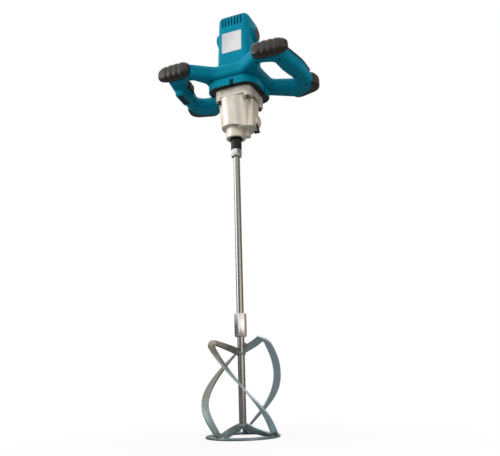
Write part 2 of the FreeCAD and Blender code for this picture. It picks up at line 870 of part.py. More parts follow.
def housing_openings():
    """Return all slots, notches and screw holes of the motor housing."""
    cuts = notches()
    cuts += [disc(hub_screw_radius, band_level, handle_level + overrun, x, y) for x, y in notch_places]
    cuts += [disc(screw_radius, post_level - overrun, post_level + screw_reach, x, y)
             for x, y in screw_places]
    for index in range(vent_count):
        x = panel_shift + (index - (vent_count - 1) / 2) * vent_pitch
        cuts.append(block(x - vent_width / 2, x + vent_width / 2, -column_half, -vent_reach,
                          vent_level, top_level + overrun))
    for side in (-1, 1):
        near, far = sorted((side * cap_seat_x, side * (brush_boss_x + overrun)))
        cuts.append(bar_x(brush_cap_radius, near, far, 0, brush_level))
    cuts.append(block(-cap_seat_x - overrun, cap_seat_x + overrun, -holder_half, holder_half,
                      brush_level - holder_half, brush_level + holder_half))
    return cuts


plate_width = 46.0
plate_rise = 33.0
plate_height = 49.0
plate_skin = 0.8

plate_low_level = base_top + plate_rise
plate_high_level = plate_low_level + plate_height


def rating_plate():
    """Return the bare plate on the column's front, leaning with the draft."""
    points = []
    for level, out in ((plate_low_level, 0), (plate_high_level, 0),
                       (plate_high_level, plate_skin), (plate_low_level, plate_skin)):
        points.append(vec(panel_shift - plate_width / 2, -column_face(level) - out, level))
    face = Part.Face(Part.makePolygon(points + points[:1]))
    return face.extrude(vec(plate_width, 0, 0))


baffle_slot_width = 3.0
baffle_slot_length = 7.0
baffle_slot_pitch = 6.5
baffle_slot_count = 7
baffle_slot_inset = 1.5
baffle_hole_radius = 24.0


def exhaust_baffle():
    """Return the black slotted plate that closes the motor's underside."""
    plate = square_prism(recess_half - fit_gap, band_corner - wall - fit_gap, baffle_level, post_level)
    cuts = [disc(baffle_hole_radius, baffle_level - overrun, post_level + overrun)]
    cuts += [disc(screw_radius + screw_clearance, baffle_level - overrun, post_level + overrun, x, y)
             for x, y in screw_places]
    cuts += notches()
    far = recess_half - baffle_slot_inset
    for index in range(baffle_slot_count):
        x = (index - (baffle_slot_count - 1) / 2) * baffle_slot_pitch
        slot = block(x - baffle_slot_width / 2, x + baffle_slot_width / 2,
                     far - baffle_slot_length, far, baffle_level - overrun, post_level + overrun)
        cuts += [turned(slot, quarter_turn * side) for side in range(4)]
    for cut in cuts:
        plate = plate.cut(cut)
    return plate


hub_screw_head_radius = 2.6
hub_screw_head_height = 3.0
hub_screw_reach = 12.0


def hub_screws():
    """Return the four screws that hold the handle to the band."""
    seat = band_level + notch_height
    screws = []
    for x, y in notch_places:
        head = disc(hub_screw_head_radius, seat - hub_screw_head_height, seat, x, y)
        shank = disc(hub_screw_radius, seat - overrun, handle_level + hub_screw_reach, x, y)
        screws.append(fused([head, shank]))
    return Part.makeCompound(screws)


# Motor: stator, field coils, armature, commutator, fan and brushes

stator_lift = 3.0
stator_length = 56.0
stator_bore = 20.8
coil_half = 4.2
coil_x = 17.6
coil_y = 20.6
coil_gap = 0.4
coil_end = 8.0
coil_end_inner = 22.5
coil_end_outer = 29.8
coil_end_sweep = 118.0
air_gap = 0.6
armature_slots = 12
armature_slot_width = 3.2
armature_slot_depth = 7.0
armature_inset = 1.0
winding_radius = 17.5
winding_end = 9.0
winding_edge = 3.0
commutator_radius = 13.5
commutator_bars = 24
bar_gap = 0.6
bar_depth = 0.8
fan_gap = 1.6
fan_lift = 2.5
fan_height = 13.0
fan_plate = 2.5
fan_hub_radius = 9.0
fan_vanes = 16
fan_vane_width = 1.8
fan_vane_inner = 13.0
brush_half = 4.4
brush_length = 16.0
brush_gap = 0.3
holder_wall = 1.6
holder_near = 17.0
cap_thickness = 4.5
cap_edge = 1.0
cap_slot_width = 2.4
cap_slot_depth = 1.6
cap_slot_length = 20.0
pinion_drop = 3.0

stator_low = base_top + stator_lift
stator_top = stator_low + stator_length
armature_radius = stator_bore - air_gap
fan_low = boss_top + fan_lift
fan_radius = flange_screw_half * math.sqrt(2) - post_radius - fan_gap
motor_shaft_low = layshaft_gear_level - pinion_drop
pinion_top = layshaft_gear_top + pinion_drop


def stator_core():
    """Return the laminated stator with its bore and four coil windows."""
    core = square_prism(stator_half, stator_corner, stator_low, stator_top)
    core = core.cut(disc(stator_bore, stator_low - overrun, stator_top + overrun))
    size = coil_half + coil_gap
    for sx in (-1, 1):
        for sy in (-1, 1):
            core = core.cut(block(sx * coil_x - size, sx * coil_x + size,
                                  sy * coil_y - size, sy * coil_y + size,
                                  stator_low - overrun, stator_top + overrun))
    return core


def coil_end_turn(low, high):
    """Return the curved end turn of a field coil on the right side."""
    outer = Part.makeCylinder(coil_end_outer, high - low, vec(0, 0, low), vec(0, 0, 1), coil_end_sweep)
    arc = outer.cut(disc(coil_end_inner, low - overrun, high + overrun))
    return turned(arc, -coil_end_sweep / 2)


def field_windings():
    """Return the two field coils that go through the stator's windows."""
    legs = [block(coil_x - coil_half, coil_x + coil_half, sy * coil_y - coil_half,
                  sy * coil_y + coil_half, stator_low - coil_end, stator_top + coil_end)
            for sy in (-1, 1)]
    ends = [coil_end_turn(low, low + coil_end) for low in (stator_low - coil_end, stator_top)]
    coil = fused(legs + ends)
    return Part.makeCompound([coil, mirrored(coil)])


def armature_shaft():
    """Return the motor shaft with the pinion cut on its lower end."""
    teeth = gear(motor_pinion_teeth, first_module, motor_shaft_low, pinion_top, 0,
                 full_turn / 2 / motor_pinion_teeth)
    neck = disc(pinion_shaft_radius, pinion_top, motor_bearing_level)
    middle = disc(motor_shaft_radius, motor_bearing_level, commutator_top)
    upper = disc(upper_journal_radius, commutator_top, upper_motor_bearing_top)
    return fused([teeth, neck, middle, upper])


def armature_slot(extra, low, high):
    """Return the slot of the armature that faces +X."""
    return block(armature_radius - armature_slot_depth, armature_radius - armature_inset + extra,
                 -armature_slot_width / 2, armature_slot_width / 2, low, high)


def armature_core():
    """Return the slotted lamination stack of the armature."""
    core = tube(armature_radius, motor_shaft_radius, stator_low, stator_top)
    slot = armature_slot(armature_inset + overrun, stator_low - overrun, stator_top + overrun)
    slots = [turned(slot, full_turn * index / armature_slots) for index in range(armature_slots)]
    return core.cut(fused(slots))


def armature_windings():
    """Return the armature's coils: bars in the slots and a bundle at each end."""
    ends = []
    for low, high in ((stator_low - winding_end, stator_low), (stator_top, stator_top + winding_end)):
        bundle = disc(winding_radius, low, high)
        face = low if low < stator_low else high
        bundle = bundle.makeFillet(winding_edge, edges_at(bundle, face))
        ends.append(bundle.cut(disc(motor_shaft_radius, low - overrun, high + overrun)))
    bar = armature_slot(0, stator_low - overrun, stator_top + overrun)
    bars = [turned(bar, full_turn * index / armature_slots) for index in range(armature_slots)]
    return fused(ends + bars)


def commutator():
    """Return the commutator with the gaps between its copper bars."""
    ring = tube(commutator_radius, motor_shaft_radius, commutator_low, commutator_top)
    gap = block(commutator_radius - bar_depth, commutator_radius + overrun, -bar_gap / 2, bar_gap / 2,
                commutator_low - overrun, commutator_top + overrun)
    gaps = [turned(gap, full_turn * index / commutator_bars) for index in range(commutator_bars)]
    return ring.cut(fused(gaps))


def cooling_fan():
    """Return the fan with its plate and upright vanes."""
    top = fan_low + fan_height
    vane = block(fan_vane_inner, fan_radius - overrun, -fan_vane_width / 2, fan_vane_width / 2,
                 fan_low, top - fan_plate / 2)
    pieces = [disc(fan_hub_radius, fan_low, top), disc(fan_radius, top - fan_plate, top)]
    pieces += [turned(vane, full_turn * index / fan_vanes) for index in range(fan_vanes)]
    return fused(pieces).cut(disc(motor_shaft_radius, fan_low - overrun, top + overrun))


def motor_bearing_lower():
    """Return the bearing at the pinion end of the motor shaft."""
    return bearing(motor_bearing_outer, motor_shaft_radius + running_gap,
                   motor_bearing_level, motor_bearing_top, 0)


def motor_bearing_upper():
    """Return the bearing at the commutator end of the motor shaft."""
    return bearing(upper_motor_bearing_outer, upper_journal_radius + running_gap,
                   upper_motor_bearing_level, upper_motor_bearing_top, 0)


def brush_holder():
    """Return the square brass guide of the right brush."""
    outer = block(holder_near, cap_seat_x, -holder_half, holder_half,
                  brush_level - holder_half, brush_level + holder_half)
    half = holder_half - holder_wall
    return outer.cut(block(holder_near - overrun, cap_seat_x + overrun, -half, half,
                           brush_level - half, brush_level + half))


def carbon_brush():
    """Return the right carbon brush, just off the commutator."""
    near = commutator_radius + brush_gap
    return block(near, near + brush_length, -brush_half, brush_half,
                 brush_level - brush_half, brush_level + brush_half)


def brush_cap():
    """Return the slotted screw cap over the right brush."""
    far = cap_seat_x + cap_thickness
    cap = bar_x(brush_cap_radius, cap_seat_x, far, 0, brush_level)
    rim = [edge for edge in cap.Edges if edge.Closed and edge.BoundBox.XMin > far - same_place]
    cap = cap.makeFillet(cap_edge, rim)
    return cap.cut(block(far - cap_slot_depth, far + overrun, -cap_slot_length / 2, cap_slot_length / 2,
                         brush_level - cap_slot_width / 2, brush_level + cap_slot_width / 2))


# Handles: two moulded shells that form the hub and both D-grips

handle_top_edge = 13.0
handle_low_edge = 9.0
cavity_inset = 3.5
cavity_roof = 8.5
shell_screw_radius = 1.8
shell_screw_head = 3.3
shell_screw_head_height = 3.0
shell_screw_sink = 4.0
shell_screw_reach = 7.0
shell_boss_radius = 5.5
hub_boss_radius = 4.5
gland_flange_radius = 9.5
gland_flange = 2.5
gland_radius = 7.0
gland_bore = 4.2

# Corner places as shares of the handle's half width and half depth, with radii
outline_shares = ((0.171, -0.63), (0.462, -0.98), (0.800, -0.99), (0.937, -0.05),
                  (0.950, 0.40), (0.987, 0.78), (0.633, 1.00), (0.253, 0.63))
outline_radii = (22.0, 20.0, 14.0, 150.0, 60.0, 15.0, 20.0, 22.0)
opening_shares = ((0.500, -0.71), (0.658, -0.62), (0.677, -0.25), (0.741, 0.16), (0.785, 0.44),
                  (0.671, 0.54), (0.418, 0.37), (0.396, -0.02), (0.386, -0.44))
opening_radii = (9.0, 10.0, 60.0, 60.0, 12.0, 10.0, 12.0, 80.0, 12.0)
shared_screw_shares = ((0.247, -0.56), (0.475, -0.80), (0.867, 0.48), (0.544, 0.74))
right_screw_shares = ((0.755, -0.70), (0.800, 0.04))


def placed(shares, radii):
    """Return corner places in millimetres from shares of the handle's size."""
    return [(handle_half_width * x, handle_half_depth * y, radius)
            for (x, y), radius in zip(shares, radii)]


def handle_screw_places():
    """Return the places of the screws that join the two handle shells."""
    places = []
    for x, y in shared_screw_shares:
        places.append((handle_half_width * x, handle_half_depth * y))
        places.append((-handle_half_width * x, handle_half_depth * y))
    places += [(handle_half_width * x, handle_half_depth * y) for x, y in right_screw_shares]
    return places


def handle_outline():
    """Return the outer plan of both handles and the hub."""
    right = placed(outline_shares, outline_radii)
    left = [(-x, y, radius) for x, y, radius in reversed(right)]
    return rounded_loop(right + left, handle_level)


def handle_opening():
    """Return the plan of the right finger opening."""
    return rounded_loop(placed(opening_shares, opening_radii), handle_level)


def offset_prism(wire, inset, low, high):
    """Return the prism over a plan that is drawn in or let out by an inset."""
    loop = wire.makeOffset2D(inset)
    solid = prism(Part.Wire(loop.Edges), high - low)
    solid.translate(vec(0, 0, low - handle_level))
    return solid


def handle_body():
    """Return the handles as one solid body with rounded edges."""
    body = prism(handle_outline(), handle_height)
    opening = prism(handle_opening(), handle_height)
    body = body.cut(opening).cut(mirrored(opening))
    body = body.makeFillet(handle_top_edge, edges_at(body, handle_top))
    body = body.makeFillet(handle_low_edge, edges_at(body, handle_level))
    return body


def handle_cavity():
    """Return the hollow inside the handle shells, less the screw bosses."""
    low = handle_level + cavity_inset
    high = handle_top - cavity_roof
    room = offset_prism(handle_outline(), -cavity_inset, low, high)
    opening = offset_prism(handle_opening(), cavity_inset, low, high)
    hub_half = base_half + fit_gap + cavity_inset
    room = room.cut(opening).cut(mirrored(opening))
    room = room.cut(square_prism(hub_half, base_corner + cavity_inset, low, high))
    bosses = [disc(shell_boss_radius, low, high, x, y) for x, y in handle_screw_places()]
    bosses += [disc(hub_boss_radius, low, handle_level + hub_screw_reach + wall, x, y)
               for x, y in notch_places]
    return room.cut(fused(bosses))


# Rubber bumpers and grip pads

bumper_start_share = 0.45
bumper_length = 74.0
bumper_height = 33.0
bumper_depth = 24.0
bumper_proud = 8.0
bumper_corner_share = 0.42
# Along the bumper: place, height and depth shares, and how far back its middle stands
bumper_section_shares = ((0, 0.42, 0.40, 0.46), (0.05, 0.78, 0.70, 0.50), (0.16, 0.97, 0.95, 0.50),
                         (0.50, 1.00, 1.00, 0.52), (0.78, 0.93, 0.92, 0.54), (0.93, 0.70, 0.66, 0.58),
                         (1.00, 0.36, 0.34, 0.62))
groove_shares = (0.32, 0.46, 0.60)
groove_radius = 3.2
groove_depth = 1.7
rear_bumper_shares = ((0.50, 0.60), (0.600, 1.07), (1.042, 0.84), (0.975, 0.46), (0.70, 0.46))
rear_bumper_radii = (4.0, 24.0, 22.0, 5.0, 4.0)
rear_inner_shares = ((0.30, 0.30), (0.563, 0.965), (0.80, 0.82), (0.905, 0.66), (0.935, 0.30))
rear_inner_radii = (4.0, 4.0, 20.0, 16.0, 4.0)
rear_bumper_inset = 1.5
rear_bumper_drop = 0.8
rear_bumper_edge = 9.5
rear_bumper_low_edge = 7.0
pad_shares = ((0.74, -0.95), (0.815, -0.95), (0.944, -0.05), (0.956, 0.42), (0.86, 0.42), (0.815, -0.05))
pad_radii = (5.0, 6.0, 150.0, 6.0, 6.0, 60.0)
pad_depth = 6.0
pad_proud = 0.8
pad_edge = 5.0

bumper_start = handle_half_width * bumper_start_share
bumper_front = handle_half_depth + bumper_proud


def bumper_loop(section):
    """Return one rounded cross-section of the front bumper."""
    along, tall, deep, back = section
    half_height = bumper_height * tall / 2
    half_depth = bumper_depth * deep / 2
    middle_y = -bumper_front + bumper_depth * back
    middle_z = handle_level + handle_height / 2
    corner = bumper_corner_share * 2 * min(half_height, half_depth)
    signs = ((-1, -1), (1, -1), (1, 1), (-1, 1))
    flat = rounded_loop([(sy * half_depth, sz * half_height, corner) for sy, sz in signs], 0)
    place = FreeCAD.Matrix(0, 0, 1, bumper_start + bumper_length * along,
                           1, 0, 0, middle_y,
                           0, 1, 0, middle_z)
    flat.transformShape(place)
    return flat


def front_bumper():
    """Return the ribbed rubber horn on the right handle's front corner."""
    bumper = Part.makeLoft([bumper_loop(section) for section in bumper_section_shares], True, False)
    for share in groove_shares:
        x = bumper_start + bumper_length * share
        y = -bumper_front + groove_depth - groove_radius
        bumper = bumper.cut(disc(groove_radius, handle_level, handle_top + bumper_height, x, y))
    return bumper


def rear_bumper():
    """Return the rubber corner at the back of the right handle."""
    low = handle_level - rear_bumper_drop
    height = handle_height - rear_bumper_inset + rear_bumper_drop
    loop = rounded_loop(placed(rear_bumper_shares, rear_bumper_radii), low)
    body = prism(loop, height)
    body = body.makeFillet(rear_bumper_edge, edges_at(body, low + height))
    body = body.makeFillet(rear_bumper_low_edge, edges_at(body, low))
    inner = rounded_loop(placed(rear_inner_shares, rear_inner_radii), low - overrun)
    return body.cut(prism(inner, height + 2 * overrun))


def grip_pad():
    """Return the soft strip on top of the right grip."""
    low = handle_top - pad_depth
    body = prism(rounded_loop(placed(pad_shares, pad_radii), low), pad_depth + pad_proud)
    return body.makeFillet(pad_edge, edges_at(body, handle_top + pad_proud))


# Switch gear in the left grip and the speed control in the right one

trigger_depth = 18.0
trigger_length = 34.0
trigger_height = 16.5
trigger_lift = 6.0
trigger_travel = 6.0
trigger_edge = 1.2
trigger_place_shares = (0.687, -0.26)
trigger_outline_shares = ((0.5, -0.5), (0.5, 0.5), (-0.08, 0.5), (-0.27, 0.35), (-0.5, -0.36), (-0.3, -0.5))
trigger_radii = (1.5, 1.5, 2.0, 4.0, 4.0, 2.0)
switch_width = 11.0
switch_length = 38.0
switch_lift = 6.5
switch_place_shares = (0.822, -0.20)
module_width = 17.0
module_length = 38.0
module_height = 13.0
module_place_shares = (0.795, -0.30)
button_width = 11.0
button_length = 42.0
button_height = 12.0
button_drop = 9.5
button_edge = 1.0
button_place_shares = (0.785, -0.24)
grip_lean = 6.6
guard_wall = 2.8
guard_drop = 8.5
guard_corner = 3.0

trigger_level = handle_level + trigger_lift
button_level = handle_level - button_drop


def grip_place(shares, side):
    """Return a place in the left (-1) or right (1) grip from its shares."""
    return side * handle_half_width * shares[0], handle_half_depth * shares[1]


def grip_box(shares, side, width, length, low, high):
    """Return a box centred at a place in a grip."""
    x, y = grip_place(shares, side)
    return block(x - width / 2, x + width / 2, y - length / 2, y + length / 2, low, high)


def leaned(shape):
    """Return a copy turned about the lock button to lie along the slanted grip."""
    x, y = grip_place(button_place_shares, -1)
    return turned(shape, grip_lean, x, y)


def trigger():
    """Return the trigger on the inner side of the left grip."""
    x, y = grip_place(trigger_place_shares, -1)
    corners = [(x - trigger_depth * sx, y + trigger_length * sy, radius)
               for (sx, sy), radius in zip(trigger_outline_shares, trigger_radii)]
    body = prism(rounded_loop(corners, trigger_level), trigger_height)
    return body.makeFillet(trigger_edge, edges_at(body, trigger_level)
                           + edges_at(body, trigger_level + trigger_height))


def trigger_window():
    """Return the opening in the grip's wall that the trigger slides in."""
    x, y = grip_place(trigger_place_shares, -1)
    return block(x - trigger_depth / 2 - trigger_travel - moving_gap, x + trigger_depth / 2 + overrun,
                 y - trigger_length / 2 - moving_gap, y + trigger_length / 2 + moving_gap,
                 trigger_level - moving_gap, trigger_level + trigger_height + moving_gap)


def lock_button():
    """Return the lock-on button under the left grip."""
    body = grip_box(button_place_shares, -1, button_width, button_length,
                    button_level, button_level + button_height)
    return leaned(body.makeFillet(button_edge, edges_at(body, button_level)))


def button_guard():
    """Return the raised rim round the lock button."""
    x, y = grip_place(button_place_shares, -1)
    half_width = button_width / 2 + moving_gap + guard_wall
    half_length = button_length / 2 + moving_gap + guard_wall
    points = [(x + sx * half_width, y + sy * half_length, guard_corner)
              for sx, sy in ((-1, -1), (1, -1), (1, 1), (-1, 1))]
    return leaned(prism(rounded_loop(points, handle_level - guard_drop), guard_drop + cavity_inset))


def button_slot():
    """Return the slot that the lock button slides in."""
    return leaned(grip_box(button_place_shares, -1, button_width + 2 * moving_gap,
                           button_length + 2 * moving_gap, button_level - overrun,
                           handle_level + cavity_inset + overrun))


def switch_body():
    """Return the trigger switch in the left grip."""
    return grip_box(switch_place_shares, -1, switch_width, switch_length,
                    handle_level + switch_lift, handle_top - cavity_roof)


def speed_module():
    """Return the electronic speed control in the right grip."""
    low = handle_level + cavity_inset
    return grip_box(module_place_shares, 1, module_width, module_length, low, low + module_height)


def cable_gland():
    """Return the empty cable inlet at the back of the hub."""
    rear = handle_half_depth * outline_shares[-1][1]
    flange = bar_y(gland_flange_radius, rear, rear + gland_flange, 0, parting_level)
    neck = bar_y(gland_radius, rear - cavity_inset - gland_flange, rear + gland_flange, 0, parting_level)
    bore = bar_y(gland_bore, rear - cavity_inset - gland_flange - overrun,
                 rear + gland_flange + overrun, 0, parting_level)
    return fused([flange, neck]).cut(bore)


def handle_screws():
    """Return the sunk screws that join the two handle shells."""
    low = handle_level + shell_screw_sink
    screws = []
    for x, y in handle_screw_places():
        head = disc(shell_screw_head, low, low + shell_screw_head_height, x, y)
        shank = disc(shell_screw_radius, low, parting_level + shell_screw_reach, x, y)
        slot = hexagon(shell_screw_radius, low - overrun, low + overrun, x, y)
        screws.append(fused([head, shank]).cut(slot))
    return Part.makeCompound(screws)


def handle_shells(bumpers):
    """Return the upper and lower handle shells, cut for all that they carry."""
    hub = square_prism(base_half + fit_gap, base_corner, handle_level - overrun, handle_top + overrun)
    body = handle_body().cut(hub)
    for bumper in bumpers:
        body = body.cut(bumper)
    body = fused([body, button_guard().cut(hub)])
    gland_hole = cable_gland_hole()
    for cut in (handle_cavity(), trigger_window(), button_slot(), gland_hole):
        body = body.cut(cut)
    reach = 2 * handle_half_width
    upper_half = block(-reach, reach, -reach, reach, parting_level, handle_top + reach)
    lower_half = block(-reach, reach, -reach, reach, handle_level - reach, parting_level)
    upper = body.common(upper_half)
    lower = body.common(lower_half)
    head_top = handle_level + shell_screw_sink + shell_screw_head_height
    for x, y in handle_screw_places():
        upper = upper.cut(disc(shell_screw_radius, parting_level - overrun,
                               parting_level + shell_screw_reach, x, y))
        lower = lower.cut(disc(shell_screw_head, handle_level - overrun, head_top, x, y))
        lower = lower.cut(disc(shell_screw_radius, head_top - overrun, parting_level + overrun, x, y))
    for x, y in notch_places:
        lower = lower.cut(disc(hub_screw_radius, handle_level - overrun,
                               handle_level + hub_screw_reach, x, y))
    return upper, lower


def cable_gland_hole():
    """Return the hole through the back of the hub for the cable inlet."""
    rear = handle_half_depth * outline_shares[-1][1]
    return bar_y(gland_radius, rear - cavity_inset - gland_flange, rear + overrun, 0, parting_level)


def build():
    """Return every piece of the machine by its node name."""
    ring = paddle_ring()
    key = spindle_key()
    bumper = front_bumper()
    corner = rear_bumper()
    pad = grip_pad().cut(bumper).cut(corner)
    soft = [shape for piece in (bumper, corner, pad) for shape in (piece, mirrored(piece))]
    upper_shell, lower_shell = handle_shells(soft)
    pieces = {
        "paddle_ring": ring,
        "paddle_shaft": paddle_shaft(),
        "rod_coupling": rod_coupling(),
        "mixing_rod": mixing_rod(),
        "rod_nut": rod_nut(),
        "output_spindle": output_spindle(key),
        "spindle_gear": spindle_gear(key),
        "spindle_key": key,
        "spindle_circlip": spindle_circlip(),
        "spindle_bearing_lower": spindle_bearing(lower_bearing_level),
        "spindle_bearing_upper": spindle_bearing(upper_bearing_level),
        "oil_seal": oil_seal(),
        "seal_ring": seal_ring(),
        "layshaft": layshaft(),
        "layshaft_gear": layshaft_gear(),
        "layshaft_bearing_lower": layshaft_bearing(layshaft_bearing_level),
        "layshaft_bearing_upper": layshaft_bearing(layshaft_upper_level),
        "gear_housing": gear_housing().cut(selector_bore()),
        "bearing_plate": bearing_plate(),
        "gearbox_screws": gearbox_screws(),
        "selector_cap": selector_cap(),
        "selector_lever": selector_lever(),
        "motor_housing": motor_housing(),
        "rating_plate": rating_plate(),
        "exhaust_baffle": exhaust_baffle(),
        "hub_screws": hub_screws(),
        "stator_core": stator_core(),
        "field_windings": field_windings(),
        "armature_shaft": armature_shaft(),
        "armature_core": armature_core(),
        "armature_windings": armature_windings(),
        "commutator": commutator(),
        "cooling_fan": cooling_fan(),
        "motor_bearing_lower": motor_bearing_lower(),
        "motor_bearing_upper": motor_bearing_upper(),
        "handle_upper_shell": upper_shell,
        "handle_lower_shell": lower_shell,
        "handle_screws": handle_screws(),
        "cable_gland": cable_gland(),
        "switch_body": switch_body(),
        "speed_module": speed_module(),
        "trigger": trigger(),
        "lock_button": lock_button(),
    }
    for blade in range(len(blade_angles)):
        pieces["paddle_blade_%d" % (blade + 1)] = paddle_blade(blade, ring)
    for name, piece in (("brush_holder", brush_holder()), ("carbon_brush", carbon_brush()),
                        ("brush_cap", brush_cap()), ("front_bumper", bumper),
                        ("rear_bumper", corner), ("grip_pad", pad)):
        pieces[name + "_right"] = piece
        pieces[name + "_left"] = mirrored(piece)
    front = bumper.optimalBoundingBox().YMin
    rear = corner.optimalBoundingBox().YMax
    for piece in pieces.values():
        piece.translate(vec(0, -(front + rear) / 2, 0))
    print("moved back by", round(-(front + rear) / 2, 4))
    return pieces


os.makedirs("parts", exist_ok=True)
for node_name, node_shape in build().items():
    node_shape.exportStep("parts/" + node_name + ".step")
    print(node_name, node_shape.isValid(), len(node_shape.Solids), round(node_shape.Volume))
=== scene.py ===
"""Looks of a two-handed mixing drill: finishes, moulded details, light and camera."""
import json
import logging
import math
from dataclasses import dataclass, field
from enum import Enum
from typing import Callable, Optional, Sequence, Union

import bmesh
import bpy
from mathutils import Matrix, Vector


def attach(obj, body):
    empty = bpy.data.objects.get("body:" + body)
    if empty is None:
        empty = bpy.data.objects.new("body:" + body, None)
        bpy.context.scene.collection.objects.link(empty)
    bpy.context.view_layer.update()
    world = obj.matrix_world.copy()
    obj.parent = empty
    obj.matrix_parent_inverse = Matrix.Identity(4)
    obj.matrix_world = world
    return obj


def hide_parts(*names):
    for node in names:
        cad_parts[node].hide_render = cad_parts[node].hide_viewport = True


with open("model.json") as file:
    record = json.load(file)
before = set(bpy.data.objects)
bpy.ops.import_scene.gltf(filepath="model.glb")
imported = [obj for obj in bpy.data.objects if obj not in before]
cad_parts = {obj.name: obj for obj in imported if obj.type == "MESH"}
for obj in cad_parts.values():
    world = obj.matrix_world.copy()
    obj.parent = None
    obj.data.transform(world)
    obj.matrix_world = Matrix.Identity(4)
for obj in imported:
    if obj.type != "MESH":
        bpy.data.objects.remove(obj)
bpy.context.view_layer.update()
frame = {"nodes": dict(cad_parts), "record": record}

LOG = logging.getLogger("mixing_drill")

Triple = tuple[float, float, float]
Number = Union[float, "Sig"]
# The colour, the roughness and the normal of a surface
Skin = tuple["Sig", "Sig", "Sig"]
Piece = bpy.types.Object

# A millimetre in metres; then the spindle's place across and the machine's in depth, in millimetres
MM = 0.001
JOINTS = {joint["name"]: joint for joint in frame["record"]["behaviour"]["joints"]}
SPINDLE_X, BACK = (part / MM for part in JOINTS["spindle_spin"]["pos_m"][:2])

# How near two places count as one, in metres, and how straight a face has to look along a way
NEAR = 0.00001
ALONG = 0.9
ACROSS, DEEP, UP = (Vector(way) for way in ((1.0, 0.0, 0.0), (0.0, 1.0, 0.0), (0.0, 0.0, 1.0)))

# Edges sharper than this stay sharp, in degrees: on rubber and welds, plastic and screws, turned steel
SOFT, MOULDED, TURNED = 60.0, 35.0, 30.0

# How many sides make a small bar round
ROUND = 32

# The range of a noise value that changes the gloss, and the rays that soften an edge
NOISE_SPAN = (0.3, 0.7)
EDGE_RAYS = 8


class Side(Enum):
    """The two grips, with the sign of their X place."""

    LEFT = -1
    RIGHT = 1


class Body(Enum):
    """The bodies that pieces ride on."""

    MACHINE = "machine"
    SPINDLE = "spindle"


# Shader sheets

class Sig:
    """A shader socket that takes part in sums and products."""

    def __init__(self, sheet: "Sheet", socket: bpy.types.NodeSocket) -> None:
        """Keep the output socket and the sheet that its node stands on."""
        self.sheet = sheet
        self.socket = socket

    def math(self, operation: str, *values: Number) -> "Sig":
        """Return the result of a Math node with these values."""
        return self.sheet.node("ShaderNodeMath", {"operation": operation}, dict(enumerate(values)))

    def __add__(self, other: Number) -> "Sig":
        """Return the sum."""
        return self.math("ADD", self, other)

    __radd__ = __add__

    def __sub__(self, other: Number) -> "Sig":
        """Return the difference."""
        return self.math("SUBTRACT", self, other)

    def __rsub__(self, other: Number) -> "Sig":
        """Return the difference from a number."""
        return self.math("SUBTRACT", other, self)

    def __mul__(self, other: Number) -> "Sig":
        """Return the product."""
        return self.math("MULTIPLY", self, other)

    def top(self, other: Number) -> "Sig":
        """Return the larger of two values."""
        return self.math("MAXIMUM", self, other)

    def span(self, low: float, high: float, new_low: float = 0.0, new_high: float = 1.0) -> "Sig":
        """Map low to high smoothly onto new_low to new_high, held at both ends."""
        return self.sheet.node("ShaderNodeMapRange", {"interpolation_type": "SMOOTHSTEP"},
                               {"Value": self, "From Min": low, "From Max": high,
                                "To Min": new_low, "To Max": new_high})


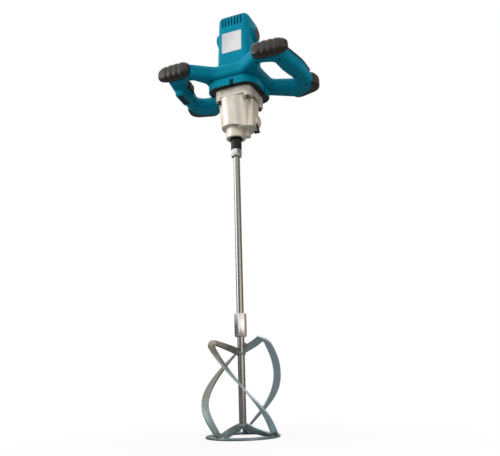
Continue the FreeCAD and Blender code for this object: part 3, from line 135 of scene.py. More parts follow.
class Sheet:
    """A node tree that is filled in Python expressions."""

    def __init__(self, tree: bpy.types.NodeTree) -> None:
        """Clear the tree of a material or of the world and keep it."""
        tree.nodes.clear()
        self.tree = tree

    def node(self, kind: str, settings: Optional[dict] = None, values: Optional[dict] = None,
             out: Union[int, str, None] = 0) -> Optional[Sig]:
        """Add a node.

        Args:
            kind: the node's type.
            settings: its properties, set first.
            values: its inputs by name or number, as values or links.
            out: which output to return, or None for a node that has none.

        Returns:
            The chosen output.
        """
        made = self.tree.nodes.new(kind)
        for key, value in (settings or {}).items():
            setattr(made, key, value)
        for key, value in (values or {}).items():
            socket = made.inputs[key]
            if isinstance(value, Sig):
                self.tree.links.new(value.socket, socket)
            else:
                socket.default_value = value
        return None if out is None else Sig(self, made.outputs[out])

    def place(self, stretch: Triple = (1.0, 1.0, 1.0)) -> Sig:
        """Return the object's own coordinates, stretched along each axis."""
        source = self.node("ShaderNodeTexCoord", out="Object")
        return self.node("ShaderNodeMapping", {}, {"Vector": source, "Scale": stretch})

    def axes(self, vector: Sig) -> tuple[Sig, ...]:
        """Return the three parts of a vector."""
        split = self.node("ShaderNodeSeparateXYZ", {}, {0: vector})
        return tuple(Sig(self, socket) for socket in split.socket.node.outputs)

    def noise(self, scale: float, detail: float = 3.0, rough: float = 0.55,
              stretch: Triple = (1.0, 1.0, 1.0)) -> Sig:
        """Return noise from 0 to 1: waves in a metre, finer layers, their strength and the stretch."""
        return self.node("ShaderNodeTexNoise", {}, {"Vector": self.place(stretch), "Scale": scale,
                                                    "Detail": detail, "Roughness": rough})

    def cells(self, scale: float) -> Sig:
        """Return the distance to scattered points, so many in a metre."""
        return self.node("ShaderNodeTexVoronoi", {}, {"Vector": self.place(), "Scale": scale})

    def mix(self, share: Number, first: Union[Triple, Sig], second: Union[Triple, Sig]) -> Sig:
        """Return a mix of two colours, given the second colour's share."""
        pair = [value if isinstance(value, Sig) else (*value, 1.0) for value in (first, second)]
        return self.node("ShaderNodeMix", {"data_type": "RGBA"}, {0: share, 6: pair[0], 7: pair[1]}, 2)

    def soft(self, radius: float) -> Sig:
        """Return the normal with its edges softened over a radius in metres."""
        return self.node("ShaderNodeBevel", {"samples": EDGE_RAYS}, {"Radius": radius})

    def edges(self, radius: float, low: float, high: float) -> Sig:
        """Return a mask of the outer and inner edges of the shape.

        Args:
            radius: how far from an edge the mask reaches, in metres.
            low: the turn of the surface at which it starts.
            high: the turn at which it is full.

        Returns:
            The mask from 0 to 1.
        """
        pair = {0: self.soft(radius), 1: self.node("ShaderNodeNewGeometry", out="Normal")}
        turn = self.node("ShaderNodeVectorMath", {"operation": "DOT_PRODUCT"}, pair, 1)
        return (1 - turn).span(low, high)

    def bump(self, height: Sig, depth: float, strength: float, round_edge: float = 0.0) -> Sig:
        """Return the normal of a raised pattern.

        Args:
            height: the pattern from 0 to 1.
            depth: its height in metres.
            strength: how much of it shows.
            round_edge: how far edges are softened, in metres.

        Returns:
            The normal.
        """
        values: dict = {"Height": height, "Distance": depth, "Strength": strength}
        if round_edge:
            values["Normal"] = self.soft(round_edge)
        return self.node("ShaderNodeBump", {}, values)


# Finishes

@dataclass(frozen=True)
class Finish:
    """A finish of the machine, painted as one material."""

    slot: str
    colour: Triple
    metal: float = 0.0
    rough: float = 0.5
    spec: float = 0.5

    def paint(self) -> bpy.types.Material:
        """Make the material.

        Returns:
            The material, filled with the finish's nodes.
        """
        material = bpy.data.materials.new("finish_" + self.slot)
        material.use_nodes = True
        material.diffuse_color = (*self.colour, 1.0)
        sheet = Sheet(material.node_tree)
        values = dict(zip(("Base Color", "Roughness", "Normal"), self.surface(sheet)))
        values.update({"Metallic": self.metal, "Specular IOR Level": self.spec})
        shader = sheet.node("ShaderNodeBsdfPrincipled", {}, values)
        sheet.node("ShaderNodeOutputMaterial", {}, {"Surface": shader}, None)
        LOG.info("finish %s", self.slot)
        return material

    def surface(self, sheet: Sheet) -> Skin:
        """Return what changes over the surface.

        Args:
            sheet: the material's sheet.

        Returns:
            The skin.
        """
        raise NotImplementedError

    def shade(self, by: float, bluer: float = 0.0) -> Triple:
        """Return the finish's colour times a factor, with some blue added."""
        red, green, blue = (min(1.0, part * by) for part in self.colour)
        return (red, green, min(1.0, blue + bluer))

    def clouded(self, cloud: Sig, places: Triple, dark: float, light: float) -> Sig:
        """Return the finish's colour with a cloud in it.

        Args:
            cloud: the cloud from 0 to 1.
            places: its values at the dark, the true and the light colour.
            dark: the factor on the dark colour.
            light: the factor on the light colour.

        Returns:
            The colour.
        """
        made = cloud.sheet.node("ShaderNodeValToRGB", {}, {0: cloud})
        elements = made.socket.node.color_ramp.elements
        elements.new(1.0)
        for element, place, by in zip(elements, places, (dark, 1.0, light)):
            element.position = place
            element.color = (*self.shade(by), 1.0)
        return made

    def gloss(self, noise: Sig, smoother: float, rougher: float) -> Sig:
        """Return a roughness that a noise makes smoother and rougher."""
        return noise.span(*NOISE_SPAN, self.rough - smoother, self.rough + rougher)


@dataclass(frozen=True)
class MouldedPlastic(Finish):
    """Moulded plastic with a fine spark-eroded grain and a little haze."""

    grain: float = 2600.0
    grain_depth: float = 0.00004
    worn: float = 0.25
    edge: float = 0.0006

    def surface(self, sheet: Sheet) -> Skin:
        """Return cloudy colour with rubbed edges, uneven gloss and the grain.

        Args:
            sheet: the material's sheet.

        Returns:
            The skin.
        """
        grain = sheet.noise(self.grain, 2.0, 0.6)
        flow = sheet.noise(9.0, 2.0, 0.5, (1.0, 1.0, 2.4))
        rubbed = sheet.edges(0.0012, 0.03, 0.3) * sheet.noise(140.0, 5.0, 0.7).span(0.42, 0.62)
        base = self.clouded(sheet.noise(22.0, 4.0), (0.25, 0.55, 0.8), 0.9, 1.1)
        base = sheet.mix(rubbed * self.worn, base, self.shade(1.7, 0.02))
        gloss = self.gloss(flow, 0.06, 0.07) + grain * 0.05 - 0.025
        return base, gloss - rubbed * 0.06, sheet.bump(grain, self.grain_depth, 0.5, self.edge)


@dataclass(frozen=True)
class SoftRubber(Finish):
    """Soft overmoulded rubber: warm black, satin, greyed where hands rub it."""

    def surface(self, sheet: Sheet) -> Skin:
        """Return the dusty bloom, the satin and the pebbled skin.

        Args:
            sheet: the material's sheet.

        Returns:
            The skin.
        """
        cloud = sheet.noise(45.0, 5.0, 0.6)
        bloom = cloud.span(0.45, 0.8) * 0.25 + sheet.edges(0.002, 0.02, 0.35) * 0.35
        base = sheet.mix(bloom, self.colour, self.shade(3.0))
        return base, self.gloss(cloud, 0.06, 0.1), sheet.bump(sheet.cells(1500.0), 0.00005, 0.4, 0.0008)


@dataclass(frozen=True)
class CastLacquer(Finish):
    """Die-cast aluminium under a thin silver lacquer."""

    stain: Triple = (0.52, 0.45, 0.37)
    bare: Triple = (0.9, 0.88, 0.84)

    def surface(self, sheet: Sheet) -> Skin:
        """Return the warm cloud with flow marks and bright edges, the gloss and the cast skin.

        Args:
            sheet: the material's sheet.

        Returns:
            The skin.
        """
        flow = sheet.noise(16.0, 3.0, 0.5, (1.0, 1.0, 0.35))
        skin = sheet.noise(620.0, 4.0, 0.65)
        fleck = sheet.cells(2400.0)
        edge = sheet.edges(0.0012, 0.04, 0.4)
        base = self.clouded(sheet.noise(28.0, 5.0, 0.6), (0.25, 0.5, 0.75), 0.84, 1.08)
        base = sheet.mix(flow.span(0.55, 0.8) * 0.25, base, self.stain)
        base = sheet.mix(edge * 0.45, base, self.bare)
        gloss = self.gloss(skin, 0.05, 0.08) + fleck * 0.06
        return base, gloss - edge * 0.06, sheet.bump(skin + fleck * 0.35, 0.00009, 0.55, 0.0009)


@dataclass(frozen=True)
class ZincStrip(Finish):
    """Rolled strip steel with blue passivated zinc, worn by handling, with painted light and shade across it.
    """

    # The colours of a painted highlight in pale blue, of painted shade in dark brown, and of edges rubbed
    # bare and lightened as a painted highlight
    pale: Triple = (0.66, 0.82, 0.87)
    painted_shade_brown: Triple = (0.17, 0.14, 0.105)
    bare: Triple = (0.80, 0.83, 0.84)

    def surface(self, sheet: Sheet) -> Skin:
        """Return the clouds with painted light and shade, edges bare and lightened as a painted highlight,
        the gloss and the rolling streaks.

        Args:
            sheet: the material's sheet.

        Returns:
            The skin.
        """
        x, _, z = sheet.axes(sheet.place())
        cloud = sheet.noise(15.0, 3.0, 0.5)
        spangle = sheet.cells(260.0)
        scuff = sheet.noise(60.0, 6.0, 0.75, (1.0, 1.0, 9.0))
        # A side-to-side gradient of painted light and shade: pale blue towards the right and the top as a
        # painted highlight, dark brown towards the upper left as painted shade
        warm = (z * 6.0 - x * 7.0 + cloud * 0.6).span(0.9, 1.6)
        painted_highlight_share = (z * 3.0 + x * 9.0 + cloud * 0.5).span(0.1, 0.9)
        base = self.clouded(cloud, (0.3, 0.5, 0.7), 0.92, 1.08)
        base = sheet.mix(painted_highlight_share * 0.9, base, self.pale)
        base = sheet.mix(warm * 0.9, base, self.painted_shade_brown)
        # Painted shade: darker towards the foot, where the ring stands on the floor
        base = sheet.mix(z.span(0.008, 0.014, 0.6, 0.0), base, self.shade(0.5))
        base = sheet.mix(spangle.span(0.2, 0.7) * 0.06, base, self.shade(0.6))
        # Edges rubbed bare, and lightened further as a painted highlight
        base = sheet.mix(sheet.edges(0.0010, 0.05, 0.5) * 0.55, base, self.bare)
        gloss = scuff.span(0.35, 0.65, self.rough - 0.04, self.rough + 0.06)
        return base, gloss, sheet.bump(scuff + spangle * 0.3, 0.00004, 0.12)


@dataclass(frozen=True)
class TurnedSteel(Finish):
    """Drawn or turned steel with fine marks round or along the axis."""

    marks: Triple = (1.0, 1.0, 14.0)
    tint: Triple = (0.45, 0.40, 0.34)
    edge: float = 0.0005
    strength: float = 0.35
    stain: float = 0.35

    def surface(self, sheet: Sheet) -> Skin:
        """Return the tint, the uneven polish and the tool marks.

        Args:
            sheet: the material's sheet.

        Returns:
            The skin.
        """
        cloud = sheet.noise(34.0, 4.0, 0.6)
        marks = sheet.noise(420.0, 4.0, 0.7, self.marks)
        base = sheet.mix(cloud.span(0.5, 0.8) * self.stain, self.colour, self.tint)
        base = sheet.mix(sheet.edges(0.0009, 0.05, 0.5) * 0.4, base, self.shade(1.35))
        gloss = self.gloss(marks, 0.04, 0.07) + cloud.span(0.55, 0.8) * self.stain * 0.25
        return base, gloss, sheet.bump(marks, 0.00003, self.strength, self.edge)


@dataclass(frozen=True)
class BlackOxide(Finish):
    """Blackened steel that is rubbed to bare metal on its edges."""

    bare: Triple = (0.36, 0.33, 0.30)

    def surface(self, sheet: Sheet) -> Skin:
        """Return the oily black with rubbed edges, the gloss and the fine pitting.

        Args:
            sheet: the material's sheet.

        Returns:
            The skin.
        """
        cloud = sheet.noise(70.0, 5.0, 0.65)
        worn = sheet.edges(0.0010, 0.06, 0.5) * cloud.span(0.35, 0.65)
        base = sheet.mix(worn * 0.6, self.clouded(cloud, (0.3, 0.6, 0.85), 0.6, 1.6), self.bare)
        pits = sheet.noise(1400.0, 3.0, 0.6)
        return base, self.gloss(cloud, 0.08, 0.1), sheet.bump(pits, 0.00004, 0.4, 0.0005)


@dataclass(frozen=True)
class PlateFilm(Finish):
    """Bare white film with a faint linen skin and a handled edge."""

    handled: Triple = (0.45, 0.47, 0.48)

    def surface(self, sheet: Sheet) -> Skin:
        """Return the off-white clouds with a grey edge, the gloss and the linen skin.

        Args:
            sheet: the material's sheet.

        Returns:
            The skin.
        """
        cloud = sheet.noise(60.0, 4.0, 0.6)
        base = self.clouded(cloud, (0.3, 0.6, 0.9), 0.93, 1.04)
        base = sheet.mix(sheet.edges(0.0010, 0.04, 0.4) * 0.35, base, self.handled)
        return base, self.gloss(cloud, 0.05, 0.08), sheet.bump(sheet.noise(1800.0, 2.0, 0.5), 0.00002, 0.4)


@dataclass(frozen=True)
class Banded(Finish):
    """Stacked sheets or wound wire: fine bands across one axis."""

    pitch: float = 1600.0
    across: Triple = (0.0, 0.0, 1.0)
    dark: Triple = (0.05, 0.05, 0.05)

    def surface(self, sheet: Sheet) -> Skin:
        """Return the bands as colour and as ridges, and the gloss.

        Args:
            sheet: the material's sheet.

        Returns:
            The skin.
        """
        cloud = sheet.noise(80.0, 3.0)
        wave = sheet.node("ShaderNodeTexWave", {"wave_type": "BANDS", "bands_direction": "DIAGONAL"},
                          {"Vector": sheet.place(self.across), "Scale": self.pitch, "Distortion": 0.4}, "Fac")
        base = sheet.mix(wave.span(0.15, 0.7) * 0.8 + cloud * 0.2, self.dark, self.colour)
        return base, self.gloss(cloud, 0.05, 0.1), sheet.bump(wave, 0.0002, 0.6)


FINISHES: tuple[Finish, ...] = (
    MouldedPlastic("teal_plastic", (0.0, 0.245, 0.365), rough=0.42, spec=0.05, grain_depth=0.00003),
    SoftRubber("black_rubber", (0.012, 0.0095, 0.008), rough=0.34, spec=0.55),
    MouldedPlastic("black_plastic", (0.016, 0.015, 0.015), rough=0.48, spec=0.4, worn=0.12),
    MouldedPlastic("cap_plastic", (0.030, 0.015, 0.011), rough=0.36, spec=0.5, worn=0.15),
    CastLacquer("cast_metal", (0.80, 0.745, 0.65), metal=0.6, rough=0.42),
    ZincStrip("zinc_steel", (0.25, 0.33, 0.345), metal=0.92, rough=0.36),
    # The rod's and the shaft's bright steel, darkened to half the hexagons' copy below as painted shade
    TurnedSteel("bright_steel", (0.31, 0.31, 0.305), metal=1.0, rough=0.2, marks=(1.0, 1.0, 0.02),
                strength=0.06, edge=0.0, tint=(0.24, 0.22, 0.19), stain=0.25),
    BlackOxide("dark_steel", (0.020, 0.017, 0.016), metal=0.55, rough=0.38),
    BlackOxide("screw_steel", (0.10, 0.09, 0.08), metal=0.9, rough=0.36),
    TurnedSteel("gear_steel", (0.42, 0.42, 0.43), metal=1.0, rough=0.3, marks=(1.0, 1.0, 4.0)),
    TurnedSteel("bearing_steel", (0.60, 0.61, 0.62), metal=1.0, rough=0.2, marks=(1.0, 1.0, 18.0)),
    SoftRubber("seal_rubber", (0.03, 0.03, 0.03), rough=0.55),
    PlateFilm("plate_white", (0.70, 0.70, 0.695), rough=0.42, spec=0.25),
    Banded("core_iron", (0.30, 0.30, 0.31), metal=0.9, rough=0.45, pitch=1000.0),
    Banded("copper_wire", (0.62, 0.27, 0.10), metal=0.95, rough=0.28, pitch=700.0, across=(1.0, 1.0, 1.0),
           dark=(0.16, 0.05, 0.02)),
    TurnedSteel("brass_guide", (0.72, 0.52, 0.22), metal=1.0, rough=0.3, tint=(0.5, 0.33, 0.14)),
    MouldedPlastic("carbon", (0.025, 0.025, 0.027), rough=0.6, grain=900.0, grain_depth=0.00008),
)
# A lighter copy of the same bright steel for the hexagons, twice as light as the rod's darkened one
HEX_STEEL = TurnedSteel("bright_steel", (0.62, 0.62, 0.61), metal=1.0, rough=0.2, marks=(1.0, 1.0, 6.0),
                        strength=0.06, edge=0.0, stain=0.08)

# The materials by slot, and the one of the hexagons, once main has painted them
PAINTS: dict[str, bpy.types.Material] = {}


# Modelling bench

@dataclass
class Bench:
    """Hand tools for one piece."""

    name: str
    piece: Optional[Piece] = field(default=None, init=False)

    @staticmethod
    def clear() -> None:
        """Leave edit mode and select nothing."""
        if bpy.context.object and bpy.context.object.mode != "OBJECT":
            bpy.ops.object.mode_set(mode="OBJECT")
        bpy.ops.object.select_all(action="DESELECT")

    def hold(self) -> None:
        """Select the piece alone, in object mode."""
        self.clear()
        self.piece.select_set(True)
        bpy.context.view_layer.objects.active = self.piece

    def open(self) -> None:
        """Open the piece in edit mode, all of it selected."""
        self.hold()
        bpy.ops.object.mode_set(mode="EDIT")
        bpy.ops.mesh.select_all(action="SELECT")

    def take(self, piece: Piece) -> "Bench":
        """Name an object that is there already and return the bench with it."""
        self.piece = piece
        piece.name = piece.data.name = self.name
        self.hold()
        return self

    def start(self, add: Callable, **values) -> "Bench":
        """Add a primitive and open it in edit mode.

        Args:
            add: the operator that adds the primitive.
            values: its sizes and place, in metres.

        Returns:
            The bench.
        """
        self.clear()
        add(**values)
        self.take(bpy.context.object)
        bpy.ops.object.transform_apply(location=True, rotation=True, scale=True)
        self.open()
        return self

    def block(self, middle: Vector, size: Vector, turn: float = 0.0) -> "Bench":
        """Start from a block, by its middle and size in metres and its turn about Z in radians."""
        return self.start(bpy.ops.mesh.primitive_cube_add, size=1.0, location=middle, scale=size,
                          rotation=(0.0, 0.0, turn))

    def bar(self, middle: Vector, radius: float, length: float, sides: int,
            turn: Triple = (0.0, 0.0, 0.0)) -> "Bench":
        """Start from a bar with a few flat sides, or so many that it is round.

        Args:
            middle: its middle in metres.
            radius: its radius to the corners, in millimetres.
            length: its length in millimetres.
            sides: how many sides it has.
            turn: its turn about each axis, in radians.

        Returns:
            The bench.
        """
        return self.start(bpy.ops.mesh.primitive_cylinder_add, vertices=sides, radius=radius * MM,
                          depth=length * MM, location=middle, rotation=turn)

    def pick(self, test: Callable[[Vector, Vector], bool], kind: str = "FACE") -> None:
        """Select the elements that pass a test.

        Args:
            test: takes an element's middle and its normal, or the way that an edge runs.
            kind: VERT, EDGE or FACE.
        """
        bpy.ops.mesh.select_mode(type=kind)
        bpy.ops.mesh.select_all(action="DESELECT")
        mesh = bmesh.from_edit_mesh(self.piece.data)
        if kind == "VERT":
            found = [(item, item.co, item.normal) for item in mesh.verts]
        elif kind == "EDGE":
            ends = [(item, *(end.co for end in item.verts)) for item in mesh.edges]
            found = [(item, (near + far) / 2, (far - near).normalized()) for item, near, far in ends]
        else:
            found = [(item, item.calc_center_median(), item.normal) for item in mesh.faces]
        for item, place, way in found:
            item.select_set(test(place, way))
        if kind == "VERT":
            mesh.select_flush(False)
        bmesh.update_edit_mesh(self.piece.data)

    def facing(self, *ways: Vector, kind: str = "FACE") -> None:
        """Select the faces that look, or the edges that run, along one of these ways."""
        self.pick(lambda _, normal: any(normal.dot(way) > ALONG for way in ways), kind)

    def ring(self, place: Vector, way: Vector) -> None:
        """Cut a ring of edges through the whole piece, across a way."""
        bpy.ops.mesh.select_all(action="SELECT")
        bpy.ops.mesh.bisect(plane_co=place, plane_no=way)

    def size_ring(self, place: Vector, way: Vector, size: Triple) -> None:
        """Pick the ring of points that lies across a way and size it about a place."""
        self.pick(lambda spot, _: abs((spot - place).dot(way)) < NEAR, "VERT")
        bpy.ops.transform.resize(value=size, center_override=place)

    def join(self, *others: Piece) -> "Bench":
        """Make other objects part of this piece's mesh.

        Args:
            others: the objects to take in.

        Returns:
            The bench.
        """
        self.hold()
        for other in others:
            other.select_set(True)
        bpy.ops.object.join()
        return self

    def modifier(self, kind: str, **settings) -> "Bench":
        """Add a modifier and apply it.

        Args:
            kind: the modifier's type.
            settings: its properties.

        Returns:
            The bench.
        """
        self.hold()
        made = self.piece.modifiers.new(kind.lower(), kind)
        for key, value in settings.items():
            setattr(made, key, value)
        bpy.ops.object.modifier_apply(modifier=made.name)
        return self

    def carve(self, tool: Piece, way: str = "DIFFERENCE", solver: str = "MANIFOLD") -> "Bench":
        """Cut the piece with another object and throw that object away.

        Args:
            tool: the cutting object.
            way: DIFFERENCE or INTERSECT.
            solver: the cut's method.

        Returns:
            The bench.
        """
        self.modifier("BOOLEAN", operation=way, object=tool, solver=solver)
        bpy.data.objects.remove(tool)
        return self

    def bevel(self, width: float, angle: float) -> "Bench":
        """Round the edges that are sharper than an angle in degrees, over a width in millimetres."""
        return self.modifier("BEVEL", width=width * MM, segments=2, limit_method="ANGLE",
                             angle_limit=math.radians(angle))

    def soften(self, voxel: float, rounds: int) -> "Bench":
        """Rebuild the piece from voxels of a size in millimetres and smooth it so many rounds."""
        self.modifier("REMESH", mode="VOXEL", voxel_size=voxel * MM, adaptivity=0.0)
        return self.modifier("SMOOTH", factor=0.5, iterations=rounds)

    def whole(self) -> "Bench":
        """Drop the loose slivers that a cut left and keep the largest part.

        Returns:
            The bench.
        """
        self.open()
        bpy.ops.mesh.separate(type="LOOSE")
        bpy.ops.object.mode_set(mode="OBJECT")
        parts = sorted(bpy.context.selected_objects, key=lambda part: len(part.data.polygons))
        for part in parts[:-1]:
            bpy.data.objects.remove(part)
        return self.take(parts[-1])

    def close(self, angle: float = 40.0) -> Piece:
        """Turn all faces outwards, leave edit mode and smooth the shading.

        Args:
            angle: edges sharper than this stay sharp, in degrees.

        Returns:
            The finished object.
        """
        self.open()
        bpy.ops.mesh.normals_make_consistent(inside=False)
        bpy.ops.object.mode_set(mode="OBJECT")
        bpy.ops.object.shade_smooth_by_angle(angle=math.radians(angle))
        return self.piece


def settle(piece: Piece, body: Body, slot: str, *nodes: str, paint: str = "") -> Piece:
    """Give a finished piece its finish, its body and the nodes that it stands for.

    Args:
        piece: the finished object.
        body: the body that it rides on.
        slot: the material slot of its finish.
        nodes: the solids that it replaces.
        paint: the name of its paint, if that isn't the slot's.

    Returns:
        The piece.
    """
    piece.data.materials.clear()
    piece.data.materials.append(PAINTS[paint or slot])
    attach(piece, body.value)
    if nodes:
        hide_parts(*nodes)
    LOG.info("piece %s with %d faces", piece.name, len(piece.data.polygons))
    return piece


# Studio

@dataclass(frozen=True)
class Lamp:
    """A soft square lamp: place and width in metres, power in watts, and if shining pieces mirror it."""

    name: str
    place: Triple
    width: float
    power: float
    mirrored: bool = True

    def hang(self, aim: Vector) -> None:
        """Hang the lamp so that it points at a place."""
        Bench.clear()
        bpy.ops.object.light_add(type="AREA", location=self.place)
        lamp = bpy.context.object
        lamp.name = self.name
        lamp.data.size = self.width
        lamp.data.energy = self.power
        lamp.visible_glossy = self.mirrored
        lamp.rotation_euler = (aim - Vector(self.place)).to_track_quat("-Z", "Y").to_euler()


@dataclass
class Studio:
    """Pale floor, soft lamps, white surroundings and the camera."""

    floor_size: float = 7.0
    # How bright the floor is to the machine and to the camera, and from where to where it turns plain white
    floor_dull: float = 0.28
    floor_pale: float = 0.9
    floor_fade: tuple[float, float] = (0.1, 0.6)
    floor_white: float = 0.84
    lens: float = 41.454
    sensor: float = 36.0
    clip: float = 0.02
    camera_place: Triple = (0.45326, -1.03704, 0.10166)
    camera_right: Triple = (0.918587, 0.394241, -0.027969)
    camera_up: Triple = (0.126035, -0.225125, 0.966143)
    aim: Triple = (0.0, 0.0, 0.62)
    shade_tint: Triple = (1.0, 0.84, 0.64)
    lamps: tuple[Lamp, ...] = (
        Lamp("key_lamp", (-1.65, -1.3, 0.92), 1.2, 17.0), Lamp("top_lamp", (0.2, 0.6, 2.3), 1.2, 12.0),
        Lamp("side_lamp", (1.75, 0.35, 0.8), 0.7, 6.0, mirrored=False))

    def build(self) -> None:
        """Set the floor, the surroundings, the lamps and the camera."""
        self.floor()
        self.surroundings()
        for lamp in self.lamps:
            lamp.hang(Vector(self.aim))
        self.camera()
        bpy.context.scene.view_settings.view_transform = "Standard"

    def floor(self) -> None:
        """Lay the pale floor, white to the camera but with the soft shadow."""
        Bench.clear()
        bpy.ops.mesh.primitive_plane_add(size=self.floor_size)
        plane = bpy.context.object
        plane.name = "floor"
        material = bpy.data.materials.new("floor_white")
        material.use_nodes = True
        sheet = Sheet(material.node_tree)
        dull, pale = (sheet.node("ShaderNodeBsdfDiffuse", {}, {"Color": (level, level, level, 1.0)})
                      for level in (self.floor_dull, self.floor_pale))
        glow = sheet.node("ShaderNodeEmission", {}, {"Color": (1.0, 1.0, 1.0, 1.0), "Strength": 1.0})
        away = sheet.node("ShaderNodeVectorMath", {"operation": "LENGTH"}, {0: sheet.place()}, 1)
        fade = away.span(*self.floor_fade, self.floor_white, 1.0)
        white = sheet.node("ShaderNodeMixShader", {}, {0: fade, 1: pale, 2: glow})
        both = sheet.node("ShaderNodeMixShader", {}, {0: self.seen(sheet), 1: dull, 2: white})
        sheet.node("ShaderNodeOutputMaterial", {}, {"Surface": both}, None)
        plane.data.materials.append(material)

    @staticmethod
    def seen(sheet: Sheet) -> Sig:
        """Return 1 for rays that show the background, on this sheet."""
        path = sheet.node("ShaderNodeLightPath", out="Is Camera Ray")
        return path.top(sheet.node("ShaderNodeLightPath", out="Is Transmission Ray"))

    def surroundings(self) -> None:
        """Make a white room, with shaded walls for what shines."""
        world = bpy.data.worlds.new("white_room")
        world.use_nodes = True
        bpy.context.scene.world = world
        sheet = Sheet(world.node_tree)
        along, depth, height = sheet.axes(sheet.node("ShaderNodeTexCoord", out="Generated"))

        def toward(x: float, y: float) -> Sig:
            """Return how far a ray points to one side of the room."""
            return along * x + depth * y

        left = toward(-0.75, -0.66).span(-0.8, 0.5, 0.12, 1.1)
        upper = height.span(0.06, 0.42)
        strip = toward(0.88, -0.47).span(0.78, 0.95) * height.span(0.12, 0.4, 1.7, 0.3)
        gap = toward(0.03, -1.0).span(0.86, 0.98) * height.span(0.2, 0.42, 0.65, 0.0)
        rear = toward(0.3, 0.95).span(0.3, 0.9) * 0.3
        front = toward(0.45, -0.89).span(0.55, 0.95) * height.span(0.02, 0.2, 0.3, 0.0)
        shine = 0.07 + left * upper * (1 - gap) + strip + front + rear + height.span(0.5, 0.95) * 0.25
        soft = (toward(-0.40, -0.88) + height * 0.22 + 0.5).top(0.10) * 0.90
        glossy = sheet.node("ShaderNodeLightPath", out="Is Glossy Ray")
        seen = self.seen(sheet)
        level = soft + (shine - soft) * glossy
        level = level + (1 - level) * seen
        tint = sheet.mix((1 - left) * glossy * (1 - seen), (1.0, 1.0, 1.0), self.shade_tint)
        back = sheet.node("ShaderNodeBackground", {}, {"Color": tint, "Strength": level})
        sheet.node("ShaderNodeOutputWorld", {}, {"Surface": back}, None)

    def camera(self) -> None:
        """Set the camera at the photograph's place and lens."""
        Bench.clear()
        bpy.ops.object.camera_add()
        camera = bpy.context.object
        camera.name = "camera"
        camera.data.sensor_fit = "HORIZONTAL"
        camera.data.sensor_width = self.sensor
        camera.data.lens = self.lens
        camera.data.clip_start = self.clip
        right, up = Vector(self.camera_right), Vector(self.camera_up)
        turn = Matrix((right, up, right.cross(up))).transposed().to_4x4()
        camera.matrix_world = Matrix.Translation(self.camera_place) @ turn
        bpy.context.scene.camera = camera


# Stock that pieces are cut from

def box_stock(name: str, near: Triple, far: Triple, corner: float = 0.0, lean: float = 0.0) -> Piece:
    """Return a box, with its upright edges rounded and turned if asked.

    Args:
        name: the object's name.
        near: its low corner in millimetres.
        far: its high corner in millimetres.
        corner: the radius of its upright edges.
        lean: its turn about its own upright axis, in degrees.

    Returns:
        The box.
    """
    low, high = Vector(near) * MM, Vector(far) * MM
    bench = Bench(name).block((low + high) / 2, high - low, math.radians(lean))
    if corner:
        bench.facing(UP, -UP, kind="EDGE")
        bpy.ops.mesh.bevel(offset=corner * MM, segments=8, affect="EDGES")
    return bench.close()


def disc_stock(name: str, radius: float, low: float, high: float, x: float, y: float) -> Piece:
    """Return an upright round bar from one level to another, in millimetres."""
    middle = Vector((x, y, (low + high) / 2)) * MM
    return Bench(name).bar(middle, radius, high - low, ROUND).close()


def copy_stock(name: str, source: Piece, share: float = 1.0, merge: float = 0.002) -> Piece:
    """Return a merged copy of an object's mesh.

    Args:
        name: the copy's name.
        source: the object to copy.
        share: the copy's size as a share of the object's.
        merge: points closer than this become one, in millimetres.

    Returns:
        The copy.
    """
    piece = bpy.data.objects.new(name, source.data.copy())
    bpy.context.scene.collection.objects.link(piece)
    bench = Bench(name).take(piece)
    bpy.ops.mesh.customdata_custom_splitnormals_clear()
    bench.open()
    if merge:
        bpy.ops.mesh.remove_doubles(threshold=merge * MM)
    if share != 1.0:
        corners = [Vector(corner) for corner in piece.bound_box]
        bpy.ops.transform.resize(value=(share, share, share), center_override=(corners[0] + corners[6]) / 2)
    return bench.close()


# Sub-assemblies

